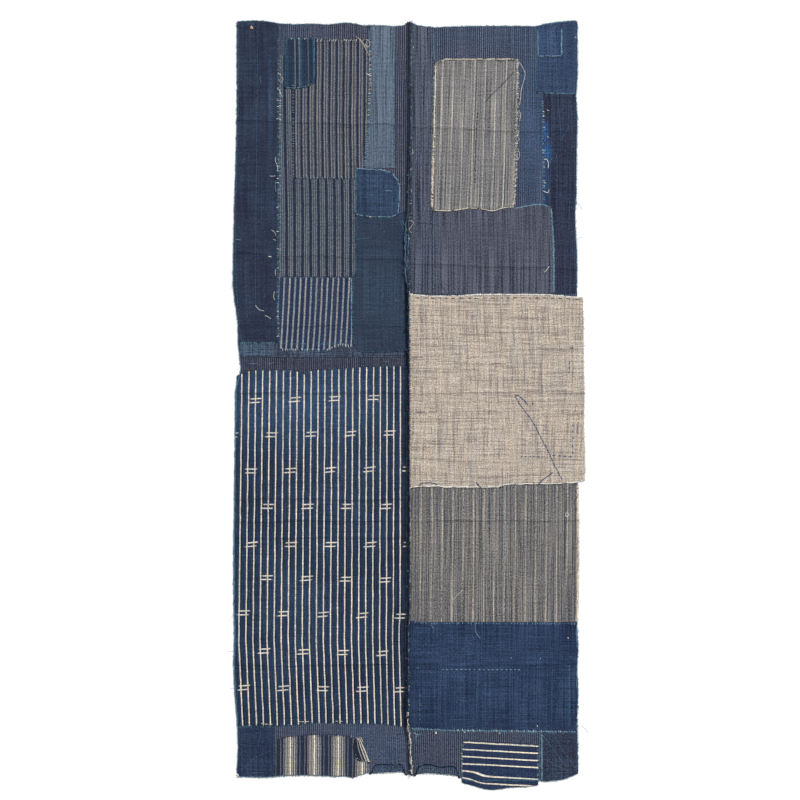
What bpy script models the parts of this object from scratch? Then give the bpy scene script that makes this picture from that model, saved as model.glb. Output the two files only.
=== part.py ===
"""Boro patched cloth, laid flat: two narrow striped panels sewn together and covered with patches.

Run with blender --background --python part.py, or from the text editor.
Metres, +Z up. The origin is on the surface below the middle of the cloth, and +Y is its top end.
"""
import math
from collections import namedtuple

import bpy

# Cloth thicknesses and the clearances between layers
PANEL_THICKNESS = 0.0012
PATCH_THICKNESS = 0.0010
LAYER_GAP = 0.0004
PANEL_STEP = PANEL_THICKNESS + LAYER_GAP
PATCH_STEP = PATCH_THICKNESS + LAYER_GAP
EDGE_INSET = 0.0008
EDGE_CLEARANCE = 0.002
STEP_RAMP = 0.004
SMALLEST_CELL = 0.0008
LINE_MERGE = 0.003

# Seam allowance that stands up along the middle
SEAM_BEND = 0.004
SEAM_HALF_GAP = 0.0002
SEAM_HEIGHT = 0.0090
SEAM_PATCH_HEIGHT = 0.0070
SEAM_BEND_STEPS = 3
SEAM_START = SEAM_BEND + SEAM_HALF_GAP
SEAM_REACH = 0.060

# Rolled hems at the bottom of the panels
HEM_REACH = 0.012
HEM_PEAK = 0.0040
HEM_LIP = 0.0022
HEM_TAPER = 0.010

# Shape of the two panels and of the patches. Left, right, bottom and top are the nominal edges.
# over: the patches that this one lies on. follows: the edges that run along the panel's own edge.
Sheet = namedtuple("Sheet", "name side left right bottom top in_seam over follows colour")

PANELS = (
    Sheet("left_panel", -1, -0.3440, 0.0, -0.7420, 0.7610, True, "", "", (0.055, 0.052, 0.083)),
    Sheet("right_panel", 1, 0.0, 0.3368, -0.7500, 0.7566, True, "", "", (0.061, 0.068, 0.105)),
)

PATCHES = (
    Sheet("left_edge_strip", -1, -0.3440, -0.2620, 0.1240, 0.7610, False, "", "left top", (0.027, 0.031, 0.061)),
    Sheet("long_striped_patch", -1, -0.2580, -0.1085, 0.2565, 0.7000, False, "", "", (0.072, 0.072, 0.105)),
    Sheet("upper_striped_patch", -1, -0.2320, -0.0780, 0.4530, 0.7300, False,
          "long_striped_patch", "", (0.112, 0.107, 0.112)),
    Sheet("small_lined_patch", -1, -0.2480, -0.1890, 0.6340, 0.7330, False,
          "long_striped_patch upper_striped_patch", "", (0.017, 0.032, 0.070)),
    Sheet("narrow_band", -1, -0.3380, -0.0100, 0.0960, 0.1225, False, "", "", (0.071, 0.091, 0.141)),
    Sheet("lower_striped_patch", -1, -0.2600, -0.1145, 0.1100, 0.2550, False,
          "narrow_band", "", (0.150, 0.138, 0.138)),
    Sheet("pale_strip", -1, -0.0755, -0.0290, 0.4740, 0.7610, False, "", "top", (0.114, 0.181, 0.283)),
    Sheet("teal_patch", -1, -0.1065, 0.0, 0.1060, 0.3860, True, "narrow_band", "", (0.030, 0.047, 0.085)),
    Sheet("blue_patch", -1, -0.1070, -0.0180, 0.3770, 0.4720, False,
          "teal_patch long_striped_patch upper_striped_patch", "", (0.031, 0.068, 0.141)),
    Sheet("kasuri_patch", -1, -0.3460, 0.0, -0.6400, 0.0700, True, "", "", (0.021, 0.044, 0.107)),
    Sheet("left_corner_patch", -1, -0.3440, -0.2695, -0.7420, -0.6430, False,
          "", "left bottom", (0.019, 0.032, 0.084)),
    Sheet("bold_striped_patch", -1, -0.2675, -0.0800, -0.7420, -0.6620, False,
          "", "bottom", (0.200, 0.185, 0.170)),
    Sheet("brown_strip", 1, 0.0, 0.0470, 0.2225, 0.7566, True, "", "top", (0.102, 0.098, 0.141)),
    Sheet("brown_patch", 1, 0.0510, 0.2885, 0.2225, 0.3970, False,
          "right_edge_strip", "", (0.098, 0.107, 0.141)),
    Sheet("grey_striped_patch", 1, 0.0505, 0.2170, 0.3900, 0.6900, False,
          "brown_patch", "", (0.283, 0.262, 0.231)),
    Sheet("linen_patch", 1, 0.0, 0.3500, -0.1630, 0.2190, True, "", "", (0.546, 0.445, 0.342)),
    Sheet("wide_striped_patch", 1, 0.0, 0.3368, -0.4335, -0.1650, True, "", "right", (0.171, 0.162, 0.156)),
    Sheet("indigo_patch", 1, 0.0, 0.3368, -0.6510, -0.4350, True, "", "right", (0.023, 0.045, 0.114)),
    Sheet("cream_lined_patch", 1, 0.1060, 0.2580, -0.7650, -0.6740, False, "", "", (0.060, 0.074, 0.130)),
    Sheet("top_corner_patch", 1, 0.2550, 0.3368, 0.6240, 0.7566, False, "", "right top", (0.038, 0.061, 0.141)),
    Sheet("small_corner_patch", 1, 0.2575, 0.3056, 0.6970, 0.7540, False,
          "top_corner_patch", "", (0.035, 0.058, 0.130)),
    Sheet("right_edge_strip", 1, 0.2700, 0.3368, 0.2225, 0.6225, False, "", "right", (0.026, 0.026, 0.053)),
    Sheet("right_corner_patch", 1, 0.2650, 0.3368, -0.7500, -0.6548, False,
          "", "right bottom", (0.030, 0.034, 0.065)),
)

# How far each uneven edge stands out past its nominal line, at a few places along it
EdgePoint = namedtuple("EdgePoint", "along out")

EDGES = {
    "left_panel left": (
        EdgePoint(0.766, 0.000), EdgePoint(0.584, 0.000), EdgePoint(0.450, 0.003), EdgePoint(0.310, 0.007),
        EdgePoint(0.240, 0.008), EdgePoint(0.166, -0.001), EdgePoint(0.072, -0.008), EdgePoint(0.034, 0.001),
        EdgePoint(-0.140, 0.003), EdgePoint(-0.340, 0.005), EdgePoint(-0.500, 0.005),
        EdgePoint(-0.622, -0.001), EdgePoint(-0.686, -0.002), EdgePoint(-0.730, 0.000),
    ),
    "left_panel top": (
        EdgePoint(-0.344, 0.0060), EdgePoint(-0.290, 0.0070), EdgePoint(-0.258, 0.0010),
        EdgePoint(-0.130, 0.0020), EdgePoint(-0.094, -0.0020), EdgePoint(-0.028, -0.0040),
        EdgePoint(-0.006, 0.0000), EdgePoint(0.0, 0.0080),
    ),
    "left_panel bottom": (
        EdgePoint(-0.344, 0.0010), EdgePoint(-0.284, 0.0020), EdgePoint(-0.222, -0.0020),
        EdgePoint(-0.114, 0.0030), EdgePoint(-0.084, -0.0060), EdgePoint(-0.046, -0.0050),
        EdgePoint(-0.020, -0.0080), EdgePoint(0.0, -0.0010),
    ),
    "right_panel right": (
        EdgePoint(0.698, 0.000), EdgePoint(0.606, -0.003), EdgePoint(0.568, 0.000), EdgePoint(0.376, -0.004),
        EdgePoint(0.296, -0.001), EdgePoint(-0.145, 0.001), EdgePoint(-0.330, 0.002),
        EdgePoint(-0.500, 0.001), EdgePoint(-0.634, -0.001), EdgePoint(-0.736, 0.001),
    ),
    "right_panel top": (
        EdgePoint(0.0, 0.0090), EdgePoint(0.018, 0.0020), EdgePoint(0.050, -0.0020), EdgePoint(0.142, 0.0010),
        EdgePoint(0.254, 0.0010), EdgePoint(0.282, 0.0070), EdgePoint(0.331, 0.0128), EdgePoint(0.337, 0.0100),
    ),
    "right_panel bottom": (
        EdgePoint(0.0, -0.0090), EdgePoint(0.030, -0.0120), EdgePoint(0.102, -0.0060), EdgePoint(0.112, 0.0000),
        EdgePoint(0.254, 0.0000), EdgePoint(0.266, 0.0010), EdgePoint(0.306, -0.0010), EdgePoint(0.337, -0.0120),
    ),
    "small_lined_patch bottom": (
        EdgePoint(-0.248, 0.001), EdgePoint(-0.214, 0.001), EdgePoint(-0.206, -0.003), EdgePoint(-0.190, -0.008),
    ),
    "upper_striped_patch right": (
        EdgePoint(0.730, -0.002), EdgePoint(0.640, 0.001), EdgePoint(0.550, -0.004), EdgePoint(0.460, -0.012),
    ),
    "lower_striped_patch bottom": (
        EdgePoint(-0.260, -0.004), EdgePoint(-0.250, 0.000), EdgePoint(-0.164, 0.000), EdgePoint(-0.136, -0.010),
        EdgePoint(-0.116, -0.006),
    ),
    "pale_strip left": (EdgePoint(0.640, 0.000), EdgePoint(0.474, 0.010)),
    "teal_patch left": (EdgePoint(0.386, 0.000), EdgePoint(0.258, 0.000), EdgePoint(0.252, 0.006)),
    "teal_patch bottom": (EdgePoint(-0.1125, -0.012), EdgePoint(-0.098, -0.003), EdgePoint(-0.090, 0.000)),
    "blue_patch right": (
        EdgePoint(0.472, -0.015), EdgePoint(0.456, -0.007), EdgePoint(0.440, 0.000), EdgePoint(0.378, -0.003),
    ),
    "kasuri_patch left": (
        EdgePoint(0.058, -0.002), EdgePoint(0.030, 0.001), EdgePoint(-0.140, 0.003), EdgePoint(-0.340, 0.005),
        EdgePoint(-0.500, 0.004), EdgePoint(-0.640, -0.003),
    ),
    "kasuri_patch top": (
        EdgePoint(-0.346, -0.0120), EdgePoint(-0.318, -0.0020), EdgePoint(-0.230, -0.0020),
        EdgePoint(-0.212, -0.0090), EdgePoint(-0.193, -0.0010), EdgePoint(-0.028, 0.0076),
    ),
    "kasuri_patch bottom": (
        EdgePoint(-0.318, 0.0010), EdgePoint(-0.200, -0.0040), EdgePoint(-0.054, -0.0030), EdgePoint(-0.008, 0.0030),
    ),
    "bold_striped_patch top": (
        EdgePoint(-0.268, -0.007), EdgePoint(-0.250, -0.003), EdgePoint(-0.192, 0.001), EdgePoint(-0.132, 0.001),
        EdgePoint(-0.098, -0.005), EdgePoint(-0.080, -0.048),
    ),
    "brown_patch right": (EdgePoint(0.396, -0.003), EdgePoint(0.286, 0.001)),
    "grey_striped_patch right": (EdgePoint(0.690, 0.000), EdgePoint(0.520, 0.000), EdgePoint(0.408, -0.006)),
    "grey_striped_patch bottom": (
        EdgePoint(0.056, -0.001), EdgePoint(0.142, 0.000), EdgePoint(0.176, -0.005), EdgePoint(0.209, 0.003),
    ),
    "linen_patch right": (EdgePoint(0.212, -0.002), EdgePoint(0.082, 0.000), EdgePoint(-0.105, 0.002)),
    "linen_patch top": (
        EdgePoint(0.000, 0.002), EdgePoint(0.090, -0.001), EdgePoint(0.200, 0.002), EdgePoint(0.331, -0.0036),
    ),
    "linen_patch bottom": (
        EdgePoint(0.000, 0.003), EdgePoint(0.060, 0.000), EdgePoint(0.176, 0.001), EdgePoint(0.195, -0.005),
        EdgePoint(0.300, -0.006), EdgePoint(0.350, -0.012),
    ),
    "wide_striped_patch top": (
        EdgePoint(0.000, -0.003), EdgePoint(0.060, 0.000), EdgePoint(0.176, -0.001), EdgePoint(0.195, 0.005),
        EdgePoint(0.300, 0.006), EdgePoint(0.337, 0.010),
    ),
    "indigo_patch bottom": (EdgePoint(0.005, -0.004), EdgePoint(0.220, 0.001), EdgePoint(0.337, 0.002)),
    "cream_lined_patch top": (EdgePoint(0.106, 0.003), EdgePoint(0.258, -0.006)),
    "cream_lined_patch bottom": (
        EdgePoint(0.106, -0.0100), EdgePoint(0.154, 0.0030), EdgePoint(0.170, 0.0044),
        EdgePoint(0.236, -0.0016), EdgePoint(0.258, -0.0050),
    ),
}

# Folds that the cloth keeps from lying folded: soft ridges across each panel
Fold = namedtuple("Fold", "side y height half_width")

FOLDS = (
    Fold(-1, 0.570, 0.0024, 0.014), Fold(1, 0.550, 0.0024, 0.014),
    Fold(-1, 0.298, 0.0022, 0.014), Fold(1, 0.273, 0.0022, 0.014),
    Fold(-1, 0.026, 0.0022, 0.014), Fold(1, 0.026, 0.0018, 0.014),
    Fold(-1, -0.187, 0.0018, 0.012), Fold(-1, -0.230, 0.0018, 0.012), Fold(-1, -0.264, 0.0014, 0.012),
    Fold(1, -0.230, 0.0020, 0.014),
    Fold(-1, -0.518, 0.0024, 0.014), Fold(1, -0.518, 0.0024, 0.014),
)

# The seam allowance down the cloth: how far it is out of line, and how far it leans to the left
SeamPlace = namedtuple("SeamPlace", "y shift lean")

SEAM = (
    SeamPlace(-0.740, 0.001, 0.00), SeamPlace(-0.646, -0.002, 0.15), SeamPlace(-0.446, -0.002, 0.15),
    SeamPlace(-0.420, 0.000, 0.05), SeamPlace(-0.030, 0.000, 0.05), SeamPlace(0.238, -0.001, 0.10),
    SeamPlace(0.250, 0.000, 0.20), SeamPlace(0.262, 0.000, 0.30), SeamPlace(0.362, 0.000, 0.30),
    SeamPlace(0.374, 0.000, 0.20), SeamPlace(0.386, 0.001, 0.10), SeamPlace(0.770, 0.004, 0.10),
)

# Stretches of the bottom edge whose hem has rolled up
HemRoll = namedtuple("HemRoll", "sheet start end")

HEM_ROLLS = (HemRoll("left_panel", -0.078, -0.012), HemRoll("right_panel", 0.012, 0.100))

# A patch that hangs past its panel lies down on the surface beyond the panel's edge
Overhang = namedtuple("Overhang", "sheet edge start")

OVERHANGS = (Overhang("linen_patch", "right", 0.3385), Overhang("cream_lined_patch", "bottom", -0.7520))

# A patch corner that stands loose
LooseCorner = namedtuple("LooseCorner", "sheet x y half_width half_length height")

LOOSE_CORNERS = (LooseCorner("bold_striped_patch", -0.0980, -0.6940, 0.016, 0.020, 0.006),)

SHEETS = {sheet.name: sheet for sheet in PANELS + PATCHES}


def clear_scene():
    """Remove everything that the start-up scene holds."""
    for obj in list(bpy.data.objects):
        bpy.data.objects.remove(obj, do_unlink=True)


def read_table(points, place):
    """Read a table of (place, value) pairs in rising order, straight between its rows."""
    if place <= points[0][0]:
        return points[0][1]
    for (low, low_value), (high, high_value) in zip(points, points[1:]):
        if place <= high:
            return low_value + (high_value - low_value) * (place - low) / (high - low)
    return points[-1][1]


def edge_out(sheet, edge, along):
    """How far one edge of a sheet stands out past its nominal line."""
    if edge in sheet.follows.split():
        panel = panel_of(sheet)
        return edge_out(panel, edge, along) - EDGE_INSET
    points = sorted(EDGES.get(f"{sheet.name} {edge}", ((0.0, 0.0),)))
    return read_table(points, along)


def panel_of(sheet):
    """The panel that a patch is sewn to."""
    return PANELS[0] if sheet.side < 0 else PANELS[1]


def within(value, low, high):
    """The value, kept between two limits."""
    return max(low, min(high, value))


def cover(lower, x, y):
    """How much of its step a lower patch adds at a place: 1 over it, and 0 past the ramp outside it."""
    outside_x = max(lower.left - x, x - lower.right, 0.0)
    outside_y = max(lower.bottom - y, y - lower.top, 0.0)
    outside = max(outside_x, outside_y) - EDGE_CLEARANCE
    return within(1.0 - outside / STEP_RAMP, 0.0, 1.0)


def fold_height(side, y):
    """Height of the fold ridges of one panel."""
    total = 0.0
    for fold in FOLDS:
        if fold.side == side:
            total += fold.height * max(0.0, 1.0 - abs(y - fold.y) / fold.half_width)
    return total


def on_panel(sheet, x, y):
    """1 where a patch lies on its panel, and 0 where it hangs past the panel's edge."""
    share = 1.0
    for overhang in OVERHANGS:
        if overhang.sheet == sheet.name:
            past = x - overhang.start if overhang.edge == "right" else overhang.start - y
            share = within(1.0 - past / STEP_RAMP, 0.0, 1.0)
    return share


def lift(sheet, x, y):
    """Height that a sheet's underside has over the folds, from the layers below it."""
    if sheet in PANELS:
        return 0.0
    height = PANEL_STEP * on_panel(sheet, x, y)
    for name in sheet.over.split():
        height += PATCH_STEP * cover(SHEETS[name], x, y)
    for corner in LOOSE_CORNERS:
        if corner.sheet == sheet.name:
            across = max(0.0, 1.0 - abs(x - corner.x) / corner.half_width)
            height += corner.height * across * max(0.0, 1.0 - abs(y - corner.y) / corner.half_length)
    return height


def hem_height(sheet, x, from_edge):
    """Height of a rolled hem at a distance from the bottom edge."""
    height = 0.0
    for roll in HEM_ROLLS:
        if roll.sheet == sheet.name:
            share = within(min(x - roll.start, roll.end - x) / HEM_TAPER, 0.0, 1.0)
            profile = ((0.0, HEM_LIP), (HEM_REACH / 2, HEM_PEAK), (HEM_REACH, 0.0))
            height += share * read_table(profile, from_edge)
    return height


def merged(lines, keep):
    """Sorted grid lines, leaving out those of the first list that crowd a line to keep."""
    kept = sorted(set(keep))
    for line in sorted(set(lines)):
        if all(abs(line - other) > LINE_MERGE for other in kept):
            kept.append(line)
    return sorted(kept)


def edge_places(sheet, edges):
    """Places along a sheet's edges where their lines bend."""
    places = []
    for edge in edges:
        source = panel_of(sheet) if edge in sheet.follows.split() else sheet
        places += [point.along for point in EDGES.get(f"{source.name} {edge}", ())]
    return places


def inside(places, low, high):
    """The places that lie inside a span, clear of its ends."""
    return [place for place in places if low + LINE_MERGE < place < high - LINE_MERGE]


def ramp_lines(low, high):
    """Grid lines where a sheet steps up over a lower patch and down past it."""
    far = EDGE_CLEARANCE + STEP_RAMP
    return [low - far, low - EDGE_CLEARANCE, high + EDGE_CLEARANCE, high + far]


def row_lines(sheet):
    """The sheet's grid lines across the cloth, from its bottom edge to its top edge."""
    keep = []
    for fold in FOLDS:
        if fold.side == sheet.side:
            keep += [fold.y - fold.half_width, fold.y, fold.y + fold.half_width]
    for name in sheet.over.split():
        keep += ramp_lines(SHEETS[name].bottom, SHEETS[name].top)
    if sheet.in_seam:
        keep += [place.y for place in SEAM]
    for corner in LOOSE_CORNERS:
        if corner.sheet == sheet.name:
            keep += [corner.y - corner.half_length, corner.y, corner.y + corner.half_length]
    for overhang in OVERHANGS:
        if overhang.sheet == sheet.name and overhang.edge == "bottom":
            keep += [overhang.start - STEP_RAMP, overhang.start]
    if any(roll.sheet == sheet.name for roll in HEM_ROLLS):
        keep += [sheet.bottom + HEM_REACH / 2, sheet.bottom + HEM_REACH]
    keep = inside(keep, sheet.bottom, sheet.top)
    loose = inside(edge_places(sheet, ("left", "right")), sheet.bottom, sheet.top)
    return merged(loose, [sheet.bottom, sheet.top] + keep)


def column_lines(sheet):
    """The sheet's grid lines along the cloth, up to the start of the seam's bend."""
    left = sheet.left
    right = sheet.right
    if sheet.in_seam:
        left, right = (left, -SEAM_START) if sheet.side < 0 else (SEAM_START, right)
    keep = []
    for name in sheet.over.split():
        keep += ramp_lines(SHEETS[name].left, SHEETS[name].right)
    for corner in LOOSE_CORNERS:
        if corner.sheet == sheet.name:
            keep += [corner.x - corner.half_width, corner.x]
    for overhang in OVERHANGS:
        if overhang.sheet == sheet.name and overhang.edge == "right":
            keep += [overhang.start, overhang.start + STEP_RAMP]
    for roll in HEM_ROLLS:
        if roll.sheet == sheet.name:
            keep += [roll.start, roll.start + HEM_TAPER, roll.end - HEM_TAPER, roll.end]
    if sheet.in_seam:
        keep.append(sheet.side * SEAM_REACH)
    keep = inside(keep, left, right)
    loose = inside(edge_places(sheet, ("top", "bottom")), left, right)
    return merged(loose, [left, right] + keep)


def fitted(lines, low, high):
    """Grid lines with their ends moved to two uneven edges and the others kept in order between them."""
    last = len(lines) - 1
    places = [low]
    for index in range(1, last):
        least = low + index * SMALLEST_CELL
        most = high - (last - index) * SMALLEST_CELL
        places.append(within(lines[index], least, most))
    places.append(high)
    return places


def seam_profile(sheet):
    """The turned-up inner edge of a sheet as (x, z) pairs, for the underside, past the flat part."""
    rise = 0.0 if sheet in PANELS else PANEL_STEP
    top = SEAM_HEIGHT if sheet in PANELS else SEAM_PATCH_HEIGHT
    radius = SEAM_BEND - rise
    profile = []
    for step in range(1, SEAM_BEND_STEPS + 1):
        angle = math.radians(90.0) * step / SEAM_BEND_STEPS
        profile.append((SEAM_START - radius * math.sin(angle), SEAM_BEND - radius * math.cos(angle)))
    profile.append((profile[-1][0], top))
    return [(sheet.side * x, z) for x, z in profile]


def seam_place(x, y, z):
    """Move a point near the seam with the seam's own line and lean."""
    shift = read_table([(place.y, place.shift) for place in SEAM], y)
    lean = read_table([(place.y, place.lean) for place in SEAM], y)
    near = within(1.0 - (abs(x) - SEAM_START) / (SEAM_REACH - SEAM_START), 0.0, 1.0)
    return x + shift * near - lean * max(0.0, z - SEAM_BEND)


def sheet_points(sheet):
    """The points of a sheet's underside, row by row from the bottom edge."""
    columns = column_lines(sheet)
    rows = row_lines(sheet)
    grid = []
    for row_index, row in enumerate(rows):
        flat_low = sheet.left - edge_out(sheet, "left", row)
        flat_high = sheet.right + edge_out(sheet, "right", row)
        if sheet.in_seam:
            flat_low = flat_low if sheet.side < 0 else SEAM_START
            flat_high = -SEAM_START if sheet.side < 0 else flat_high
        places = [(x, None) for x in fitted(columns, flat_low, flat_high)]
        if sheet.in_seam and sheet.side < 0:
            places = places + seam_profile(sheet)
        elif sheet.in_seam:
            places = seam_profile(sheet)[::-1] + places
        grid.append([sheet_point(sheet, rows, row_index, x, seam_z) for x, seam_z in places])
    return grid


def sheet_point(sheet, rows, row_index, x, seam_z):
    """One point of a sheet's underside. seam_z is its height on the turned-up edge, or None."""
    low = sheet.bottom - edge_out(sheet, "bottom", x)
    high = sheet.top + edge_out(sheet, "top", x)
    y = fitted(rows, low, high)[row_index]
    z = lift(sheet, x, y) if seam_z is None else seam_z
    z += fold_height(sheet.side, y) + hem_height(sheet, x, y - low)
    place_x = seam_place(x, y, z) if sheet.in_seam else x
    return (place_x, y, z)


def make_material(sheet):
    """Plain cotton or linen of the sheet's own colour."""
    material = bpy.data.materials.new(sheet.name)
    material.use_nodes = True
    shader = material.node_tree.nodes["Principled BSDF"]
    shader.inputs["Base Color"].default_value = (*sheet.colour, 1.0)
    shader.inputs["Roughness"].default_value = 0.95
    shader.inputs["Metallic"].default_value = 0.0
    return material


def make_sheet(sheet, collection):
    """One panel or patch: its underside as an open grid, thickened upwards."""
    grid = sheet_points(sheet)
    width = len(grid[0])
    vertices = [point for row in grid for point in row]
    faces = []
    for row in range(len(grid) - 1):
        for column in range(width - 1):
            corner = row * width + column
            faces.append((corner, corner + 1, corner + width + 1, corner + width))
    mesh = bpy.data.meshes.new(sheet.name)
    mesh.from_pydata(vertices, [], faces)
    mesh.update()
    mesh.materials.append(make_material(sheet))
    obj = bpy.data.objects.new(sheet.name, mesh)
    collection.objects.link(obj)
    shell = obj.modifiers.new("Cloth thickness", "SOLIDIFY")
    shell.thickness = PANEL_THICKNESS if sheet in PANELS else PATCH_THICKNESS
    shell.offset = 1.0
    shell.use_even_offset = True
    return obj


def main():
    """Build the cloth in a collection of its own."""
    clear_scene()
    collection = bpy.data.collections.new("boro_patched_cloth")
    bpy.context.scene.collection.children.link(collection)
    for sheet in PANELS + PATCHES:
        make_sheet(sheet, collection)


main()
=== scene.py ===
"""Looks of a boro patched cloth: woven sheets, patches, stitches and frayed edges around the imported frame."""
import functools
import math
import random
from collections import namedtuple

import bpy
import numpy as np
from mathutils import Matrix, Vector
from mathutils.bvhtree import BVHTree


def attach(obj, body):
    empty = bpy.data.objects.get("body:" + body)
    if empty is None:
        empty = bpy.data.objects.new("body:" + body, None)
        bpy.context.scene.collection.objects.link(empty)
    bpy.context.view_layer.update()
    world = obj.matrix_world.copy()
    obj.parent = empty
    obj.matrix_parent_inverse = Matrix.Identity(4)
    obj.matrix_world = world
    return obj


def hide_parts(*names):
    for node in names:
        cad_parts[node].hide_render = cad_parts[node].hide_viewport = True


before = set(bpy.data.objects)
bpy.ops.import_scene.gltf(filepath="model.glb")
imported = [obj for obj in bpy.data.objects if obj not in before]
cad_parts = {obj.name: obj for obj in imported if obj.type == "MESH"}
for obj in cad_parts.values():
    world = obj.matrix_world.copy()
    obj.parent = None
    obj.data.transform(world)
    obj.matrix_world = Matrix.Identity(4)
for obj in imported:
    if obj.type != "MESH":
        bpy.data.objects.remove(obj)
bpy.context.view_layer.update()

bl_info = {
    "name": "Boro patched cloth",
    "version": (1, 0, 0),
    "blender": (4, 5, 0),
    "location": "View3D > Sidebar > Boro cloth",
    "description": "Woven panels, patches, stitches and frayed edges of an old patched cloth",
    "category": "Add Mesh",
}

MM = 0.001

# Layers, in millimetres, and the bend and height of the seam allowance that stands up along the middle
PANEL_CLOTH = 1.0
PATCH_CLOTH = 0.8
LAYER_GAP = 0.3
PANEL_STEP = PANEL_CLOTH + LAYER_GAP
PATCH_STEP = PATCH_CLOTH + LAYER_GAP
EDGE_INSET = 0.8
EDGE_CLEARANCE = 1.0
STEP_RAMP = 5.0
SEAM_BEND = 3.6
SEAM_START = 3.8
SEAM_HEIGHT = 8.6
SEAM_PATCH_HEIGHT = 7.4
SEAM_REACH = 60.0
SEAM_END = (-736.0, 762.0)

# Sheets, in millimetres from the middle of the cloth. over: patches that this one lies on.
# follows: edges that run along the panel's own edge. turned: edges with a turned-under hem.
Sheet = namedtuple("Sheet", "name side left right bottom top in_seam over follows slot turned")

PANELS = (
    Sheet("left_panel", -1, -344.0, 0.0, -742.0, 761.0, True, "", "", "panel_stripe", ""),
    Sheet("right_panel", 1, 0.0, 336.8, -750.0, 756.6, True, "", "", "panel_stripe", ""),
)

PATCHES = (
    Sheet("left_edge_strip", -1, -344.0, -262.0, 124.0, 761.0, False, "", "left top", "dark_indigo", ""),
    Sheet("long_striped_patch", -1, -258.0, -108.5, 256.5, 700.0, False, "", "", "navy_beige_stripe", ""),
    Sheet("upper_striped_patch", -1, -232.0, -78.0, 453.0, 730.0, False,
          "long_striped_patch", "", "navy_beige_stripe", "left right top bottom"),
    Sheet("small_lined_patch", -1, -248.0, -189.0, 634.0, 733.0, False,
          "long_striped_patch upper_striped_patch", "", "dark_indigo", "left right top bottom"),
    Sheet("narrow_band", -1, -338.0, -10.0, 96.0, 122.5, False, "", "", "grey_brown_stripe", ""),
    Sheet("lower_striped_patch", -1, -260.0, -114.5, 110.0, 255.0, False,
          "narrow_band", "", "navy_beige_stripe", "left right bottom"),
    Sheet("pale_strip", -1, -75.5, -29.0, 474.0, 761.0, False, "", "top", "pale_blue", "right"),
    Sheet("teal_patch", -1, -106.5, 0.0, 106.0, 386.0, True, "narrow_band", "", "faded_indigo", "left bottom"),
    Sheet("blue_patch", -1, -107.0, -18.0, 377.0, 472.0, False,
          "teal_patch long_striped_patch upper_striped_patch", "", "faded_indigo", "left right top bottom"),
    Sheet("kasuri_patch", -1, -346.0, 0.0, -640.0, 70.0, True, "", "", "kasuri", "left top bottom"),
    Sheet("left_corner_patch", -1, -344.0, -269.5, -742.0, -643.0, False,
          "", "left bottom", "dark_indigo", "right"),
    Sheet("bold_striped_patch", -1, -267.5, -80.0, -742.0, -662.0, False,
          "", "bottom", "cream_navy_stripe", "top"),
    Sheet("brown_strip", 1, 0.0, 47.0, 222.5, 756.6, True, "", "top", "grey_brown_stripe", ""),
    Sheet("brown_patch", 1, 51.0, 288.5, 222.5, 397.0, False,
          "right_edge_strip", "", "grey_brown_stripe", "right top"),
    Sheet("grey_striped_patch", 1, 50.5, 217.0, 390.0, 690.0, False,
          "brown_patch", "", "grey_beige_stripe", "top right bottom"),
    Sheet("linen_patch", 1, 0.0, 350.0, -163.0, 219.0, True, "", "", "beige_linen", "right top bottom"),
    Sheet("wide_striped_patch", 1, 0.0, 336.8, -433.5, -165.0, True, "", "right", "grey_beige_stripe", ""),
    Sheet("indigo_patch", 1, 0.0, 336.8, -651.0, -435.0, True, "", "right", "faded_indigo", "top bottom"),
    Sheet("cream_lined_patch", 1, 106.0, 258.0, -765.0, -674.0, False,
          "", "", "cream_navy_stripe", "left right top bottom"),
    Sheet("top_corner_patch", 1, 255.0, 336.8, 624.0, 756.6, False, "", "right top", "faded_indigo", "left bottom"),
    Sheet("small_corner_patch", 1, 257.5, 305.6, 697.0, 754.0, False,
          "top_corner_patch", "", "faded_indigo", "left right bottom"),
    Sheet("right_edge_strip", 1, 270.0, 336.8, 222.5, 622.5, False, "", "right", "dark_indigo", ""),
    Sheet("right_corner_patch", 1, 265.0, 336.8, -750.0, -654.8, False,
          "", "right bottom", "dark_indigo", "left top"),
)

SHEETS = {sheet.name: sheet for sheet in PANELS + PATCHES}

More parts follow.
